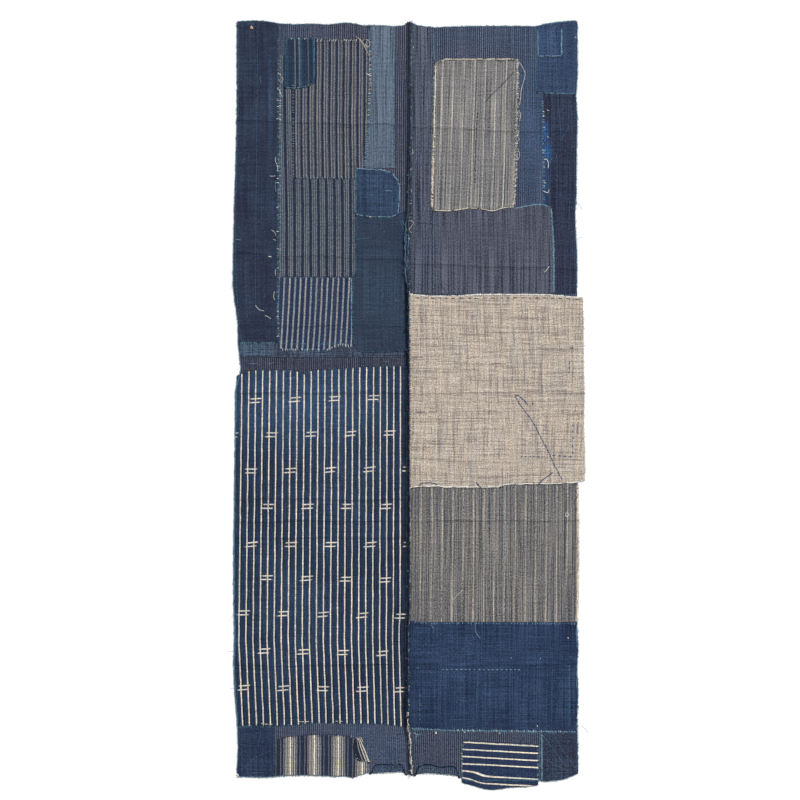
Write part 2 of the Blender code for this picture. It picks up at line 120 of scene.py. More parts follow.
# How far each uneven edge stands out past its nominal line: (place along the edge, millimetres out)
EDGES = {
    "left_panel left": (
        (-730, 0.0), (-686, -2.2), (-622, -1.0), (-572, 3.0), (-512, 5.0), (-464, 3.4), (-390, 5.0), (-290, 5.0),
        (-140, 3.2), (-56, 2.4), (34, 0.8), (62, -6.5), (72, -8.0), (96, -5.0), (120, -2.4), (166, -1.4),
        (210, 5.0), (240, 8.0), (310, 7.0), (358, 5.8), (386, 5.8), (450, 3.4), (584, 0.0), (766, 0.0),
    ),
    "left_panel top": (
        (-344, 6.0), (-310, 7.6), (-284, 6.0), (-264, 2.4), (-232, 0.0), (-198, 1.2), (-162, -0.6), (-136, 2.8),
        (-116, 2.8), (-94, -2.0), (-52, -2.0), (-28, -4.4), (-10, -1.4), (0, 8.0),
    ),
    "left_panel bottom": (
        (-343, 1.2), (-284, 2.0), (-266, 0.0), (-222, -2.2), (-182, -1.2), (-150, 0.8), (-130, -0.4), (-113, 3.2),
        (-84, -6.6), (-72, -4.2), (-46, -5.4), (-19, -7.8), (-6, -3.0), (0, -1.0),
    ),
    "right_panel right": (
        (-736, 1.4), (-634, -0.6), (-590, 1.4), (-536, -0.6), (-500, 1.4), (-452, -0.8), (-416, 0.2),
        (-330, 2.0), (-226, 1.4), (-145, 0.2), (220, -1.0), (296, -1.0), (340, -3.6), (376, -4.4), (412, -2.0),
        (456, -2.0), (568, 0.2), (606, -3.0), (652, 0.4), (698, 0.0),
    ),
    "right_panel top": (
        (0, 9.0), (18, 2.0), (50, -2.0), (92, 0.0), (142, 1.2), (254, 0.6), (273, 5.6), (298, 9.0), (331, 12.0),
        (337, 9.6),
    ),
    "right_panel bottom": (
        (0, -9.0), (30, -12.4), (62, -11.6), (102, -6.0), (112, 0.0), (254, 0.0), (266, 2.0), (276, 2.8),
        (306, -1.0), (337, -13.0),
    ),
    "small_lined_patch bottom": ((-248, 1.0), (-222, 1.4), (-208, -1.6), (-196, -5.0), (-190, -9.0)),
    "upper_striped_patch right": ((460, -12.0), (500, -8.0), (550, -4.0), (640, 1.0), (700, 1.0), (730, -1.0)),
    "lower_striped_patch bottom": (
        (-260, -4.0), (-250, 0.6), (-206, -0.4), (-164, 0.4), (-136, -11.0), (-125, -7.0), (-116, -6.0),
    ),
    "lower_striped_patch left": ((122, 0.0), (186, 3.0), (240, 0.0)),
    "pale_strip left": ((474, 14.0), (560, 6.0), (640, 3.0), (700, 3.4), (745, 5.0), (758, 2.0)),
    "teal_patch left": ((252, 6.0), (258, 0.0), (386, 0.0)),
    "teal_patch bottom": ((-113, -20.0), (-104, -17.0), (-98, -3.0), (-90, 0.0), (-34, -0.4), (-4, -1.6)),
    "blue_patch right": ((378, -3.0), (410, -0.4), (440, 0.2), (456, -5.0), (462, -11.0), (472, -15.0)),
    "blue_patch bottom": ((-107, -3.4), (-86, 0.0), (-66, 1.4), (-34, 1.8), (-21, -3.2)),
    "blue_patch top": ((-107, 1.6), (-36, -2.6), (-30, -6.0)),
    "kasuri_patch left": (
        (-640, -3.0), (-622, -2.0), (-572, 2.6), (-512, 4.6), (-464, 3.0), (-390, 4.4), (-290, 4.4), (-140, 2.4),
        (-56, 1.6), (34, 0.8), (58, -2.0),
    ),
    "kasuri_patch top": (
        (-346, -12.0), (-334, -7.0), (-318, -2.0), (-290, -0.8), (-232, -1.4), (-218, -6.0), (-210, -9.6),
        (-201, -4.6), (-193, -0.8), (-153, 0.6), (-111, 3.8), (-69, 5.6), (-28, 7.6), (-6, 7.6),
    ),
    "kasuri_patch bottom": ((-343, 1.0), (-318, 1.2), (-247, 0.8), (-198, -4.0), (-53, -2.8), (-24, 0.8), (-8, 3.0)),
    "bold_striped_patch top": (
        (-268, -7.0), (-250, -3.0), (-192, 2.0), (-152, 2.0), (-132, 0.0), (-114, -2.0), (-111, -10.0),
        (-105, -44.0), (-86, -52.0), (-80, -58.0),
    ),
    "brown_patch right": ((286, 1.4), (316, 0.6), (356, -1.4), (396, -4.0)),
    "brown_patch top": ((217, -3.0), (242, 2.0), (262, 4.8), (273, 3.4), (282, 0.2)),
    "grey_striped_patch left": ((418, 5.0), (472, 3.6), (536, 1.6), (594, 0.4), (680, -1.6)),
    "grey_striped_patch right": ((392, -8.0), (408, -6.0), (458, -2.6), (522, -0.6), (594, 1.0), (672, 1.0)),
    "grey_striped_patch bottom": (
        (55, 1.0), (82, 3.0), (102, 1.0), (124, -3.0), (142, -2.6), (176, 3.0), (190, -2.0), (209, -5.0),
    ),
    "grey_striped_patch top": ((54, -6.0), (58, -1.6), (71, 1.0), (88, 1.6), (214, 1.6)),
    "linen_patch right": (
        (-151, 1.0), (-148, 2.0), (-104, 1.6), (-56, -0.4), (18, 0.6), (66, -0.6), (164, -1.4), (214, -3.0),
    ),
    "linen_patch top": ((0, 3.0), (42, -1.0), (90, -1.0), (140, 2.0), (272, 2.0), (309, -0.4), (331, -3.6)),
    "linen_patch bottom": (
        (0, 3.8), (18, 0.2), (60, -1.0), (72, 1.4), (176, 1.4), (195, -4.6), (296, -5.8), (333, -8.2), (350, -12.0),
    ),
    "wide_striped_patch top": (
        (0, -3.8), (18, -0.2), (60, 1.0), (72, -1.4), (176, -1.4), (195, 4.6), (296, 5.8), (337, 8.0),
    ),
    "indigo_patch top": ((0, 5.0), (14, 2.0), (42, -1.0), (102, -0.6), (272, -1.0), (331, -2.0)),
    "indigo_patch bottom": ((5, -4.0), (78, -0.4), (224, 1.6), (337, 2.6)),
    "cream_lined_patch left": ((-754, 0.0), (-700, 0.0), (-676, -3.0)),
    "cream_lined_patch top": ((106, 3.0), (258, -6.0)),
    "cream_lined_patch bottom": (
        (106, -10.0), (152, 3.0), (169, 4.4), (200, 0.0), (236, -1.6), (258, -5.0),
    ),
    "top_corner_patch bottom": ((255, 0.0), (300, 1.0), (337, 0.0)),
    "right_edge_strip left": ((222, 0.0), (480, 1.0), (530, 3.0), (560, 1.0), (600, 3.4), (622, 3.4)),
}

# Folds that the cloth keeps from lying folded: y at the seam, tilt across the cloth, height and half width
Fold = namedtuple("Fold", "side y tilt height half_width")

FOLDS = (
    Fold(-1, 560.0, -0.030, 2.4, 5.5), Fold(1, 556.0, -0.030, 2.2, 5.5),
    Fold(-1, 292.0, -0.035, 2.1, 5.5), Fold(1, 284.0, -0.035, 2.1, 5.5),
    Fold(-1, 160.0, 0.0, 0.9, 5.0),
    Fold(-1, 26.0, 0.0, 2.0, 6.0), Fold(1, 26.0, 0.0, 1.7, 6.0),
    Fold(-1, -187.0, 0.0, 1.6, 5.0), Fold(-1, -230.0, 0.0, 1.8, 5.0), Fold(-1, -264.0, 0.0, 1.4, 5.0),
    Fold(1, -230.0, 0.0, 1.8, 6.0),
    Fold(-1, -518.0, 0.0, 2.2, 5.5), Fold(1, -518.0, 0.0, 2.2, 5.5),
)

# The seam allowance down the cloth: how far it is out of line, and how far it leans to the left
SEAM_PLACES = (-770, -664, -646, -446, -420, 70, 228, 244, 262, 330, 362, 386, 560, 770)
SEAM_SHIFTS = (4.5, -1.0, -4.5, -4.5, -2.0, -2.0, -3.0, -2.0, -2.0, -2.0, -1.0, -1.0, 0.0, 1.0)
SEAM_LEANS = {
    -1: (-0.30, -0.42, -0.42, -0.42, -0.46, -0.46, -0.30, 0.30, 0.95, 1.15, 0.95, 0.10, -0.40, -0.40),
    1: (-0.35, -0.46, -0.46, -0.46, -0.50, -0.50, -0.34, -0.10, 0.0, 0.10, 0.0, -0.30, -0.44, -0.44),
}

# Stretches of the bottom edge that are turned up over the face, in millimetres
HEM_TURNS = {"left_panel": (-84.0, -2.0), "right_panel": (2.0, 108.0)}
HEM_WIDTH = 18.0
HEM_RADIUS = 1.1
HEM_ROWS = (7.0, 11.0, 12.5, 13.5, 14.3, 15.1, 15.9, 16.7, 17.5, 18.3, 19.1, 20.0, 21.0)
HEM_TAPER = 18.0

# Where a patch hangs past its panel and lies on the surface: edge and where the panel ends
OVERHANGS = {"linen_patch": ("right", 338.5), "cream_lined_patch": ("bottom", -752.0)}

# Places where the cloth has faded or darkened: half sizes in millimetres, strength from 0 to 1
Patina = namedtuple("Patina", "sheet x y half_x half_y strength")

FADED = (
    Patina("left_edge_strip", -277, 640, 5, 90, 0.6), Patina("left_edge_strip", -277, 500, 4, 120, 0.3),
    Patina("left_panel", -60, -690, 160, 70, 0.6), Patina("left_panel", -230, 745, 70, 40, 0.3),
    Patina("right_panel", 245, 560, 30, 190, 0.9), Patina("right_panel", 150, 740, 120, 30, 0.35),
    Patina("teal_patch", -55, 230, 38, 90, 0.6), Patina("pale_strip", -45, 680, 22, 80, 0.5),
    Patina("indigo_patch", 170, -540, 140, 60, 0.5), Patina("indigo_patch", 60, -470, 60, 40, 0.4),
    Patina("right_edge_strip", 272, 545, 6, 20, 0.9), Patina("right_edge_strip", 277, 505, 8, 18, 1.0),
    Patina("right_edge_strip", 274, 440, 6, 45, 0.45), Patina("narrow_band", -305, 108, 32, 14, 0.9),
    Patina("wide_striped_patch", 170, -300, 190, 130, 0.4), Patina("blue_patch", -60, 440, 40, 30, 0.4),
    Patina("small_corner_patch", 282, 725, 20, 26, 0.5), Patina("kasuri_patch", -210, 10, 170, 90, 0.95),
    Patina("kasuri_patch", -230, -420, 110, 130, 0.35), Patina("kasuri_patch", -120, -180, 90, 90, 0.25),
)


def smooth(share):
    """An S-shaped step from 0 to 1."""
    share = np.clip(share, 0.0, 1.0)
    return share * share * (3.0 - 2.0 * share)


@functools.lru_cache(maxsize=None)
def waves(wavelength, seed):
    """The directions and phases of a few crossing waves."""
    chance = random.Random(seed)
    found = []
    for _ in range(7):
        angle = chance.uniform(0.0, math.tau)
        stretch = math.tau / (wavelength * chance.uniform(0.7, 1.6))
        found.append((math.cos(angle) * stretch, math.sin(angle) * stretch, chance.uniform(0.0, math.tau)))
    return found


def ripple(x, y, wavelength, seed):
    """Smooth, uneven waves between about -1 and 1."""
    total = 0.0
    for across, along, phase in waves(wavelength, seed):
        total = total + np.sin(x * across + y * along + phase)
    return total / 3.2


def seed_of(text):
    """A seed that is the same for a name on every run."""
    return sum((index + 1) * ord(letter) for index, letter in enumerate(text))


def panel_of(sheet):
    """The panel that a patch is sewn to."""
    return PANELS[0] if sheet.side < 0 else PANELS[1]


def edge_out(sheet, edge, along):
    """How far an edge stands out past its nominal line, with the small waves of a worn edge."""
    if edge in sheet.follows.split():
        return edge_out(panel_of(sheet), edge, along) - EDGE_INSET
    points = EDGES.get(f"{sheet.name} {edge}", ((0, 0.0),))
    places = [place for place, _ in points]
    outs = [out for _, out in points]
    seed = seed_of(sheet.name + edge)
    return np.interp(along, places, outs) + 0.35 * ripple(along, 0.0 * along, 17.0, seed)


def place_on(sheet, across, along):
    """Real x and y of a nominal place on a sheet, which its uneven edges stretch and squeeze."""
    across = np.asarray(across, dtype=float)
    along = np.asarray(along, dtype=float)
    left = sheet.left
    right = sheet.right
    low_x = left - edge_out(sheet, "left", along)
    high_x = right + edge_out(sheet, "right", along)
    if sheet.in_seam and sheet.side < 0:
        right = -SEAM_START
        high_x = right + 0.0 * along
    elif sheet.in_seam:
        left = SEAM_START
        low_x = left + 0.0 * along
    low_y = sheet.bottom - edge_out(sheet, "bottom", across)
    high_y = sheet.top + edge_out(sheet, "top", across)
    x = low_x + (across - left) / (right - left) * (high_x - low_x)
    y = low_y + (along - sheet.bottom) / (sheet.top - sheet.bottom) * (high_y - low_y)
    return x, y


def ground(side, x, y):
    """Height of the folds and of the slight waves that all the layers share."""
    height = 0.22 * (1.0 + ripple(x, y, 90.0, 5)) + 0.10 * (1.0 + ripple(x, y, 34.0, 8))
    for index, fold in enumerate(FOLDS):
        if fold.side == side:
            line = fold.y + fold.tilt * x + 2.2 * ripple(x, 0.0 * x, 150.0, 40 + index)
            strength = 0.8 + 0.25 * ripple(x, 0.0 * x, 120.0, 60 + index)
            height = height + fold.height * strength * np.exp(-(np.abs(y - line) / fold.half_width) ** 1.3)
    return height


def cover(lower, x, y):
    """1 over a lower patch, falling to 0 past the ramp outside it."""
    outside_x = np.maximum(np.maximum(lower.left - x, x - lower.right), 0.0)
    outside_y = np.maximum(np.maximum(lower.bottom - y, y - lower.top), 0.0)
    return smooth(1.0 - (np.maximum(outside_x, outside_y) - EDGE_CLEARANCE) / STEP_RAMP)


def lift(sheet, x, y):
    """Height of a sheet's underside from the layers below it."""
    if sheet in PANELS:
        return 0.0 * x
    height = PANEL_STEP + 0.0 * x
    if sheet.name in OVERHANGS:
        edge, start = OVERHANGS[sheet.name]
        past = x - start if edge == "right" else start - y
        height = PANEL_STEP * smooth(1.0 - past / STEP_RAMP)
    for name in sheet.over.split():
        height = height + PATCH_STEP * cover(SHEETS[name], x, y)
    return height


def underside(sheet, x, y, rims):
    """Height of a sheet's underside. rims are the distances from its left, right, bottom and top edges."""
    height = lift(sheet, x, y) + ground(sheet.side, x, y)
    seed = seed_of(sheet.name)
    if sheet in PANELS:
        curl = 0.5 * (1.0 + ripple(x, y, 70.0, seed))
        near = np.exp(-np.minimum(np.minimum(rims[0], rims[1]), np.minimum(rims[2], rims[3])) / 6.0)
        return height + 1.1 * curl * near
    turned = sheet.turned.split()
    for edge, rim in zip(("left", "right", "bottom", "top"), rims):
        along = y if edge in ("left", "right") else x
        pucker = np.sin(along * math.tau / 8.5 + 2.0 * ripple(along, 0.0 * along, 60.0, seed))
        height = height + 0.13 * pucker * np.exp(-rim / 5.0)
        if edge in turned:
            height = height + 0.45 * smooth(rim / 1.2) * smooth((9.0 - rim) / 2.5)
        height = height - 0.22 * (1.0 - smooth(rim / 2.0))
    return height


def seam_move(side, x, y, z):
    """Sideways place of a point near the seam, with the seam's own line, lean and small waves."""
    near = np.clip(1.0 - (np.abs(x) - SEAM_START) / (SEAM_REACH - SEAM_START), 0.0, 1.0)
    raised = np.maximum(0.0, z - SEAM_BEND)
    wave = 0.12 * ripple(y, 0.0 * y, 26.0, 21) + 0.08 * ripple(y, 0.0 * y, 9.0, 22)
    lean = np.interp(y, SEAM_PLACES, SEAM_LEANS[side]) + wave
    return x + np.interp(y, SEAM_PLACES, SEAM_SHIFTS) * near - lean * raised


def seam_profile(sheet):
    """The turned-up inner edge of a sheet: its (x, share of the standing height) for the underside."""
    radius = SEAM_BEND if sheet in PANELS else SEAM_BEND - PANEL_STEP
    bend = []
    for step in range(1, 7):
        angle = math.radians(15.0 * step)
        bend.append((SEAM_START - radius * math.sin(angle), SEAM_BEND - radius * math.cos(angle), 0.0))
    wall = bend[-1][0]
    top = SEAM_HEIGHT if sheet in PANELS else SEAM_PATCH_HEIGHT
    stand = [(wall, SEAM_BEND + (top - SEAM_BEND) * share, share) for share in (0.25, 0.5, 0.75, 1.0)]
    return [(sheet.side * x, z, share) for x, z, share in bend + stand]


def grid_lines(low, high, cell, low_edge, high_edge, extra=()):
    """Grid lines from one edge to the other, closer together near a free edge."""
    lines = [low, high, *[low + step for step in extra]]
    for step in (0.7, 1.6, 3.0, 5.5, 9.0):
        if low_edge and low + step < (low + high) / 2:
            lines.append(low + step)
        if high_edge and high - step > (low + high) / 2:
            lines.append(high - step)
    lines.sort()
    filled = []
    for start, end in zip(lines, lines[1:]):
        count = max(1, round((end - start) / cell))
        filled += [start + (end - start) * index / count for index in range(count)]
    return filled + [high]


def hem_width(x):
    """How much of the cloth has turned up at a place along the hem."""
    return HEM_WIDTH * (1.0 + 0.15 * ripple(x, 0.0 * x, 30.0, 77))


def turn_up(sheet, x, y, z, from_edge):
    """Fold the bottom hem up over the face along the stretch where it has turned."""
    start, end = HEM_TURNS[sheet.name]
    share = smooth(np.minimum(x - start, end - x) / HEM_TAPER)
    width = hem_width(x)
    bend = math.pi * HEM_RADIUS
    past = np.maximum(width - from_edge, 0.0)
    angle = np.minimum(past / HEM_RADIUS, math.pi)
    flat = np.maximum(past - bend, 0.0)
    folded = width - HEM_RADIUS * np.sin(angle) + flat
    lifted = HEM_RADIUS * (1.0 - np.cos(angle)) + 0.10 * flat
    let_out = (width - HEM_RADIUS) * smooth((90.0 - from_edge) / 90.0)
    y = y + share * np.where(past > 0.0, folded - from_edge, 0.0) - np.minimum(2.0 * share, 1.0) * let_out
    return y, z + share * lifted, share * smooth(past / bend)


def mix_arrays(first, second, share):
    """The place between two arrays."""
    return first + (second - first) * share


def grain(sheet, x, y):
    """Pattern coordinates of a sheet in millimetres: across its stripes and along them."""
    if sheet.name == "kasuri_patch":
        first = np.interp(y, (-634, -470, 66), (-331.6, -339.0, -332.6))
        last = np.interp(y, (-634, -470, 66), (-11.0, -15.2, -14.2))
        return np.maximum((x - first) / (last - first) * 23 * KASURI_STRIPE, -0.75 * KASURI_STRIPE), y
    if sheet.name == "cream_lined_patch":
        sag = 9.0 * smooth((x - 108.0) / 45.0) * smooth((-725.0 - y) / 20.0)
        return (-672.0 - y) - 0.054 * (x - 109.0) - sag, x
    lean = {"long_striped_patch": 0.012, "lower_striped_patch": -0.05, "grey_striped_patch": -0.03}
    slope = lean.get(sheet.name, 0.0)
    drift = 1.2 * ripple(y, 0.02 * x, 240.0, seed_of(sheet.name) + 3)
    return x - sheet.left + slope * (y - sheet.top) + drift, y


KASURI_ROWS = (
    # y of the row of marks, its slope across the patch, and the x of its first mark, from the bottom up
    (-567.0, -0.013, -330.4), (-494.0, -0.020, -369.0), (-418.5, -0.021, -330.4), (-347.0, -0.020, -363.0),
    (-279.0, 0.0, -314.6), (-202.5, 0.0, -361.0), (-130.0, 0.014, -316.0), (-58.0, 0.014, -354.0),
    (12.0, 0.026, -307.4),
)
KASURI_STRIPE = 14.0
KASURI_PITCH = 79.0
KASURI_DROP = 72.4


def kasuri_place(x, y):
    """Place among the kasuri marks: whole numbers at their middles, across and down."""
    lines, slopes, firsts = (np.array(column) for column in zip(*KASURI_ROWS))
    level = y - np.interp(y, lines, slopes) * (x + 180.0)
    row = np.interp(level, lines, np.arange(len(lines), dtype=float))
    below = np.minimum(level - lines[0], 0.0)
    above = np.maximum(level - lines[-1], 0.0)
    row = np.clip(row + (below + above) / KASURI_DROP, -0.45, len(lines) - 0.55)
    nearest = np.clip(np.rint(row), 0, len(lines) - 1).astype(int)
    return (x - firsts[nearest]) / KASURI_PITCH, row


# How strong the painted shade along the seam is, down the cloth
SEAM_SHADE_PLACES = (-770, -660, -640, 236, 262, 362, 386, 770)
SEAM_SHADE_SHARES = {
    -1: (0.50, 0.50, 1.00, 1.00, 0.60, 0.60, 0.52, 0.46),
    1: (0.30, 0.30, 0.86, 0.86, 0.72, 0.72, 0.76, 0.74),
}


def seam_shade_and_bands(sheet, x, y):
    """How dark the cloth is drawn: painted shade beside and inside the seam, where the standing allowance is in shade,
    and a few darker bands across some sheets.
    """
    wander = 1.3 * ripple(y, 0.0 * y, 13.0, 90) + 0.8 * ripple(y, 0.0 * y, 5.0, 91)
    reach = np.interp(y, SEAM_PLACES, SEAM_SHIFTS) + wander
    strength = np.interp(y, SEAM_SHADE_PLACES, SEAM_SHADE_SHARES[sheet.side])
    if sheet.side < 0:
        band = 0.30 * (sheet.name == "left_panel") * smooth((98.0 - y) / 3.0) * smooth((y - 50.0) / 3.0)
        return np.maximum(strength * smooth((x - reach + 8.0) / 4.0), band)
    band = 0.17 * (sheet.name == "right_panel") * smooth((-652.0 - y) / 4.0)
    band = band + 0.14 * (sheet.name == "brown_strip") * smooth((400.0 - y) / 60.0)
    return np.maximum(strength * smooth((reach + 5.5 - x) / 2.5), band)


def crease_distance(sheet, x, y):
    """Distance of a place from the nearest fold line, in millimetres."""
    nearest = 50.0 + 0.0 * x
    for index, fold in enumerate(FOLDS):
        if fold.side == sheet.side:
            distance = y - fold.y - fold.tilt * x - 2.2 * ripple(x, 0.0 * x, 150.0, 40 + index) + 2.0
            nearest = np.where(np.abs(distance) < np.abs(nearest), distance, nearest)
    return nearest


def patina(sheet, x, y, marks):
    """Strength of a sheet's faded or darkened places."""
    total = 0.0 * x
    for mark in marks:
        if mark.sheet == sheet.name:
            distance = ((x - mark.x) / mark.half_x) ** 2 + ((y - mark.y) / mark.half_y) ** 2
            total = total + mark.strength * np.exp(-distance)
    return np.clip(total, 0.0, 1.0)


def deselect():
    """Leave nothing selected, so that an operator acts on the new piece alone."""
    for obj in bpy.context.selected_objects:
        obj.select_set(False)


def grid_object(name, columns, rows):
    """A flat grid of so many faces each way, added as a primitive."""
    deselect()
    bpy.ops.mesh.primitive_grid_add(x_subdivisions=columns, y_subdivisions=rows, size=1.0)
    obj = bpy.context.object
    obj.name = name
    obj.data.name = name
    return obj


def apply_thickness(obj, thickness):
    """Give an open sheet its thickness on the upper side."""
    shell = obj.modifiers.new("Cloth thickness", "SOLIDIFY")
    shell.thickness = thickness
    shell.offset = 1.0
    shell.use_even_offset = False
    bpy.context.view_layer.objects.active = obj
    bpy.ops.object.modifier_apply(modifier=shell.name)
    obj.data.shade_smooth()
    deselect()
    obj.select_set(True)
    bpy.ops.object.shade_smooth_by_angle(angle=math.radians(50.0))


def weave_sheet(sheet, settings):
    """Model one panel or patch on its solid's folds, as a thin sheet of cloth."""
    panel = sheet in PANELS
    cell = (settings.panel_cell if panel else settings.patch_cell) / MM
    left, right = sheet.left, sheet.right
    if sheet.in_seam:
        left, right = (left, -SEAM_START) if sheet.side < 0 else (SEAM_START, right)
    free_left = not (sheet.in_seam and sheet.side > 0)
    free_right = not (sheet.in_seam and sheet.side < 0)
    columns = grid_lines(left, right, cell, free_left, free_right)
    rows = grid_lines(sheet.bottom, sheet.top, cell, True, True, HEM_ROWS if panel else ())
    profile = seam_profile(sheet) if sheet.in_seam else []
    across = np.array(columns + [sheet.side * SEAM_START] * len(profile))
    seam_x = np.array([0.0] * len(columns) + [x for x, _, _ in profile])
    seam_z = np.array([0.0] * len(columns) + [z for _, z, _ in profile])
    on_seam = np.array([0.0] * len(columns) + [1.0] * len(profile))
    stand = np.array([0.0] * len(columns) + [share for _, _, share in profile])
    if sheet.in_seam and sheet.side > 0:
        order = list(range(len(columns), len(across)))[::-1] + list(range(len(columns)))
        across, seam_x, seam_z = across[order], seam_x[order], seam_z[order]
        on_seam, stand = on_seam[order], stand[order]
    grid_across, grid_along = np.meshgrid(across, np.array(rows))
    x, y = place_on(sheet, grid_across, grid_along)
    rims = [grid_across - sheet.left, sheet.right - grid_across, grid_along - sheet.bottom, sheet.top - grid_along]
    if sheet.in_seam:
        rims[1 if sheet.side < 0 else 0] = 0.0 * x + 100.0
    z = underside(sheet, x, y, rims)
    cloth_x = x + on_seam * (seam_x - sheet.side * SEAM_START)
    cloth_y = y.copy()
    reverse = 0.0 * x
    if panel:
        y, z, reverse = turn_up(sheet, x, y, z, rims[2])
    if sheet.in_seam:
        uneven = 1.0 + 0.12 * ripple(y, 0.0 * y, 14.0, 31 + sheet.side)
        rise = seam_z + stand * (uneven - 1.0) * SEAM_HEIGHT
        z = np.where(on_seam > 0.5, ground(sheet.side, x, y) + rise, z)
        x = np.where(on_seam > 0.5, seam_x, x)
        x = seam_move(sheet.side, x, y, z)
    obj = grid_object(f"{sheet.name}_cloth", len(across) - 1, len(rows) - 1)
    shape_grid(obj, x, y, z)
    first, second = grain(sheet, cloth_x, cloth_y)
    first = first - sheet.side * stand * (SEAM_HEIGHT - SEAM_BEND)
    write_uv(obj, "UVMap", first * MM, second * MM)
    if sheet.name == "kasuri_patch":
        write_uv(obj, "marks", *kasuri_place(cloth_x, cloth_y))
    write_attribute(obj, "faded", patina(sheet, x, y, FADED))
    frayed_from = 0.5 if sheet.side > 0 else 0.6
    write_attribute(obj, "raw_edge", np.maximum(0.5 * smooth((stand - frayed_from) / 0.35) + 0.0 * x, reverse))
    write_attribute(obj, "crease", crease_distance(sheet, x, y) * MM)
    # Painted shade beside and inside the seam; the turned-up hem drawn a little darker
    write_attribute(obj, "grime", np.maximum(seam_shade_and_bands(sheet, x, y), 0.20 * reverse))
    nearest = np.minimum(np.minimum(rims[0], rims[1]), np.minimum(rims[2], rims[3]))
    write_attribute(obj, "rim", nearest * MM)
    thickness = (settings.panel_cloth if panel else settings.patch_cloth)
    apply_thickness(obj, thickness)
    return obj


def grid_order(obj, shape):
    """Row and column of each vertex of a grid primitive."""
    count = len(obj.data.vertices)
    if count != shape[0] * shape[1]:
        raise RuntimeError(f"{obj.name}: the grid has {count} points instead of {shape[0] * shape[1]}")
    flat = np.empty(count * 3)
    obj.data.vertices.foreach_get("co", flat)
    flat = flat.reshape(-1, 3)
    column = np.rint((flat[:, 0] + 0.5) * (shape[1] - 1)).astype(int)
    row = np.rint((flat[:, 1] + 0.5) * (shape[0] - 1)).astype(int)
    return row, column


def shape_grid(obj, x, y, z):
    """Move the points of a grid primitive to the places worked out for them, in millimetres."""
    row, column = grid_order(obj, x.shape)
    obj["rows"] = row.tolist()
    obj["columns"] = column.tolist()
    places = np.stack([x[row, column], y[row, column], z[row, column]], axis=1) * MM
    obj.data.vertices.foreach_set("co", places.ravel())
    obj.data.update()


def per_vertex(obj, values):
    """Values of a grid array, in the order of the object's vertices."""
    return values[np.array(obj["rows"]), np.array(obj["columns"])]


def write_attribute(obj, name, values):
    """Store a number for each point of the sheet."""
    attribute = obj.data.attributes.new(name, "FLOAT", "POINT")
    attribute.data.foreach_set("value", per_vertex(obj, values).astype(np.float32))


def write_uv(obj, name, first, second):
    """Store pattern coordinates in a UV map."""
    layer = obj.data.uv_layers.get(name) or obj.data.uv_layers.new(name=name)
    corners = np.empty(len(obj.data.loops), dtype=np.int32)
    obj.data.loops.foreach_get("vertex_index", corners)
    pair = np.stack([per_vertex(obj, first), per_vertex(obj, second)], axis=1)[corners]
    layer.data.foreach_set("uv", pair.ravel().astype(np.float32))


def tidy_grid(obj):
    """Remove the helper lists of a finished sheet."""
    del obj["rows"]
    del obj["columns"]


class Nodes:
    """Short ways to add and join shader nodes in one tree."""

    def __init__(self, tree):
        self.tree = tree

    def add(self, kind, **settings):
        """A new node with some of its settings."""
        node = self.tree.nodes.new(kind)
        for name, value in settings.items():
            setattr(node, name, value)
        return node

    def feed(self, socket, value):
        """Join a socket to another, or give it a plain value."""
        if isinstance(value, bpy.types.NodeSocket):
            self.tree.links.new(value, socket)
        else:
            socket.default_value = value

    def math(self, operation, first, second=0.0, third=0.0, clamp=False):
        """A Math node's result."""
        node = self.add("ShaderNodeMath", operation=operation, use_clamp=clamp)
        for socket, value in zip(node.inputs, (first, second, third)):
            self.feed(socket, value)
        return node.outputs[0]

    def mix(self, share, first, second, blend="MIX"):
        """Two colours mixed."""
        node = self.add("ShaderNodeMix", data_type="RGBA", blend_type=blend)
        self.feed(node.inputs[0], share)
        self.feed(node.inputs[6], first)
        self.feed(node.inputs[7], second)
        return node.outputs[2]

    def noise(self, vector, scale=1.0, detail=2.0, roughness=0.5):
        """Noise between 0 and 1 at a place."""
        node = self.add("ShaderNodeTexNoise")
        self.feed(node.inputs["Vector"], vector)
        self.feed(node.inputs["Scale"], scale)
        self.feed(node.inputs["Detail"], detail)
        self.feed(node.inputs["Roughness"], roughness)
        return node.outputs["Fac"]

    def stretched_noise(self, across, along, across_scale, along_scale, detail=1.0):
        """Noise drawn out along one direction of the cloth."""
        place = self.vector(self.math("MULTIPLY", across, across_scale), self.math("MULTIPLY", along, along_scale))
        return self.noise(place, 1.0, detail)

    def vector(self, x, y, z=0.0):
        """A vector from its parts."""
        node = self.add("ShaderNodeCombineXYZ")
        for socket, value in zip(node.inputs, (x, y, z)):
            self.feed(socket, value)
        return node.outputs[0]

    def parts(self, vector):
        """The x and y of a vector."""
        node = self.add("ShaderNodeSeparateXYZ")
        self.feed(node.inputs[0], vector)
        return node.outputs[0], node.outputs[1]

    def between(self, value, low, high, to_low=0.0, to_high=1.0):
        """A value mapped smoothly from one span to another."""
        node = self.add("ShaderNodeMapRange", interpolation_type="SMOOTHSTEP")
        for socket, part in zip(node.inputs, (value, low, high, to_low, to_high)):
            self.feed(socket, part)
        return node.outputs[0]

    def ramp(self, share, stops, interpolation="LINEAR"):
        """A colour ramp with (place, colour) stops."""
        node = self.add("ShaderNodeValToRGB")
        node.color_ramp.interpolation = interpolation
        elements = node.color_ramp.elements
        for _ in range(len(stops) - len(elements)):
            elements.new(0.5)
        for element, (place, colour) in zip(elements, stops):
            element.position = place
            element.color = (*colour[:3], 1.0)
        self.feed(node.inputs[0], share)
        return node.outputs[0]

    def attribute(self, name, output="Fac"):
        """An attribute of the surface."""
        return self.add("ShaderNodeAttribute", attribute_name=name).outputs[output]

    def group(self, tree, **inputs):
        """A node group with some of its inputs, whose names take underscores for spaces."""
        node = self.add("ShaderNodeGroup", node_tree=tree)
        for name, value in inputs.items():
            self.feed(node.inputs[name.replace("_", " ")], value)
        return node


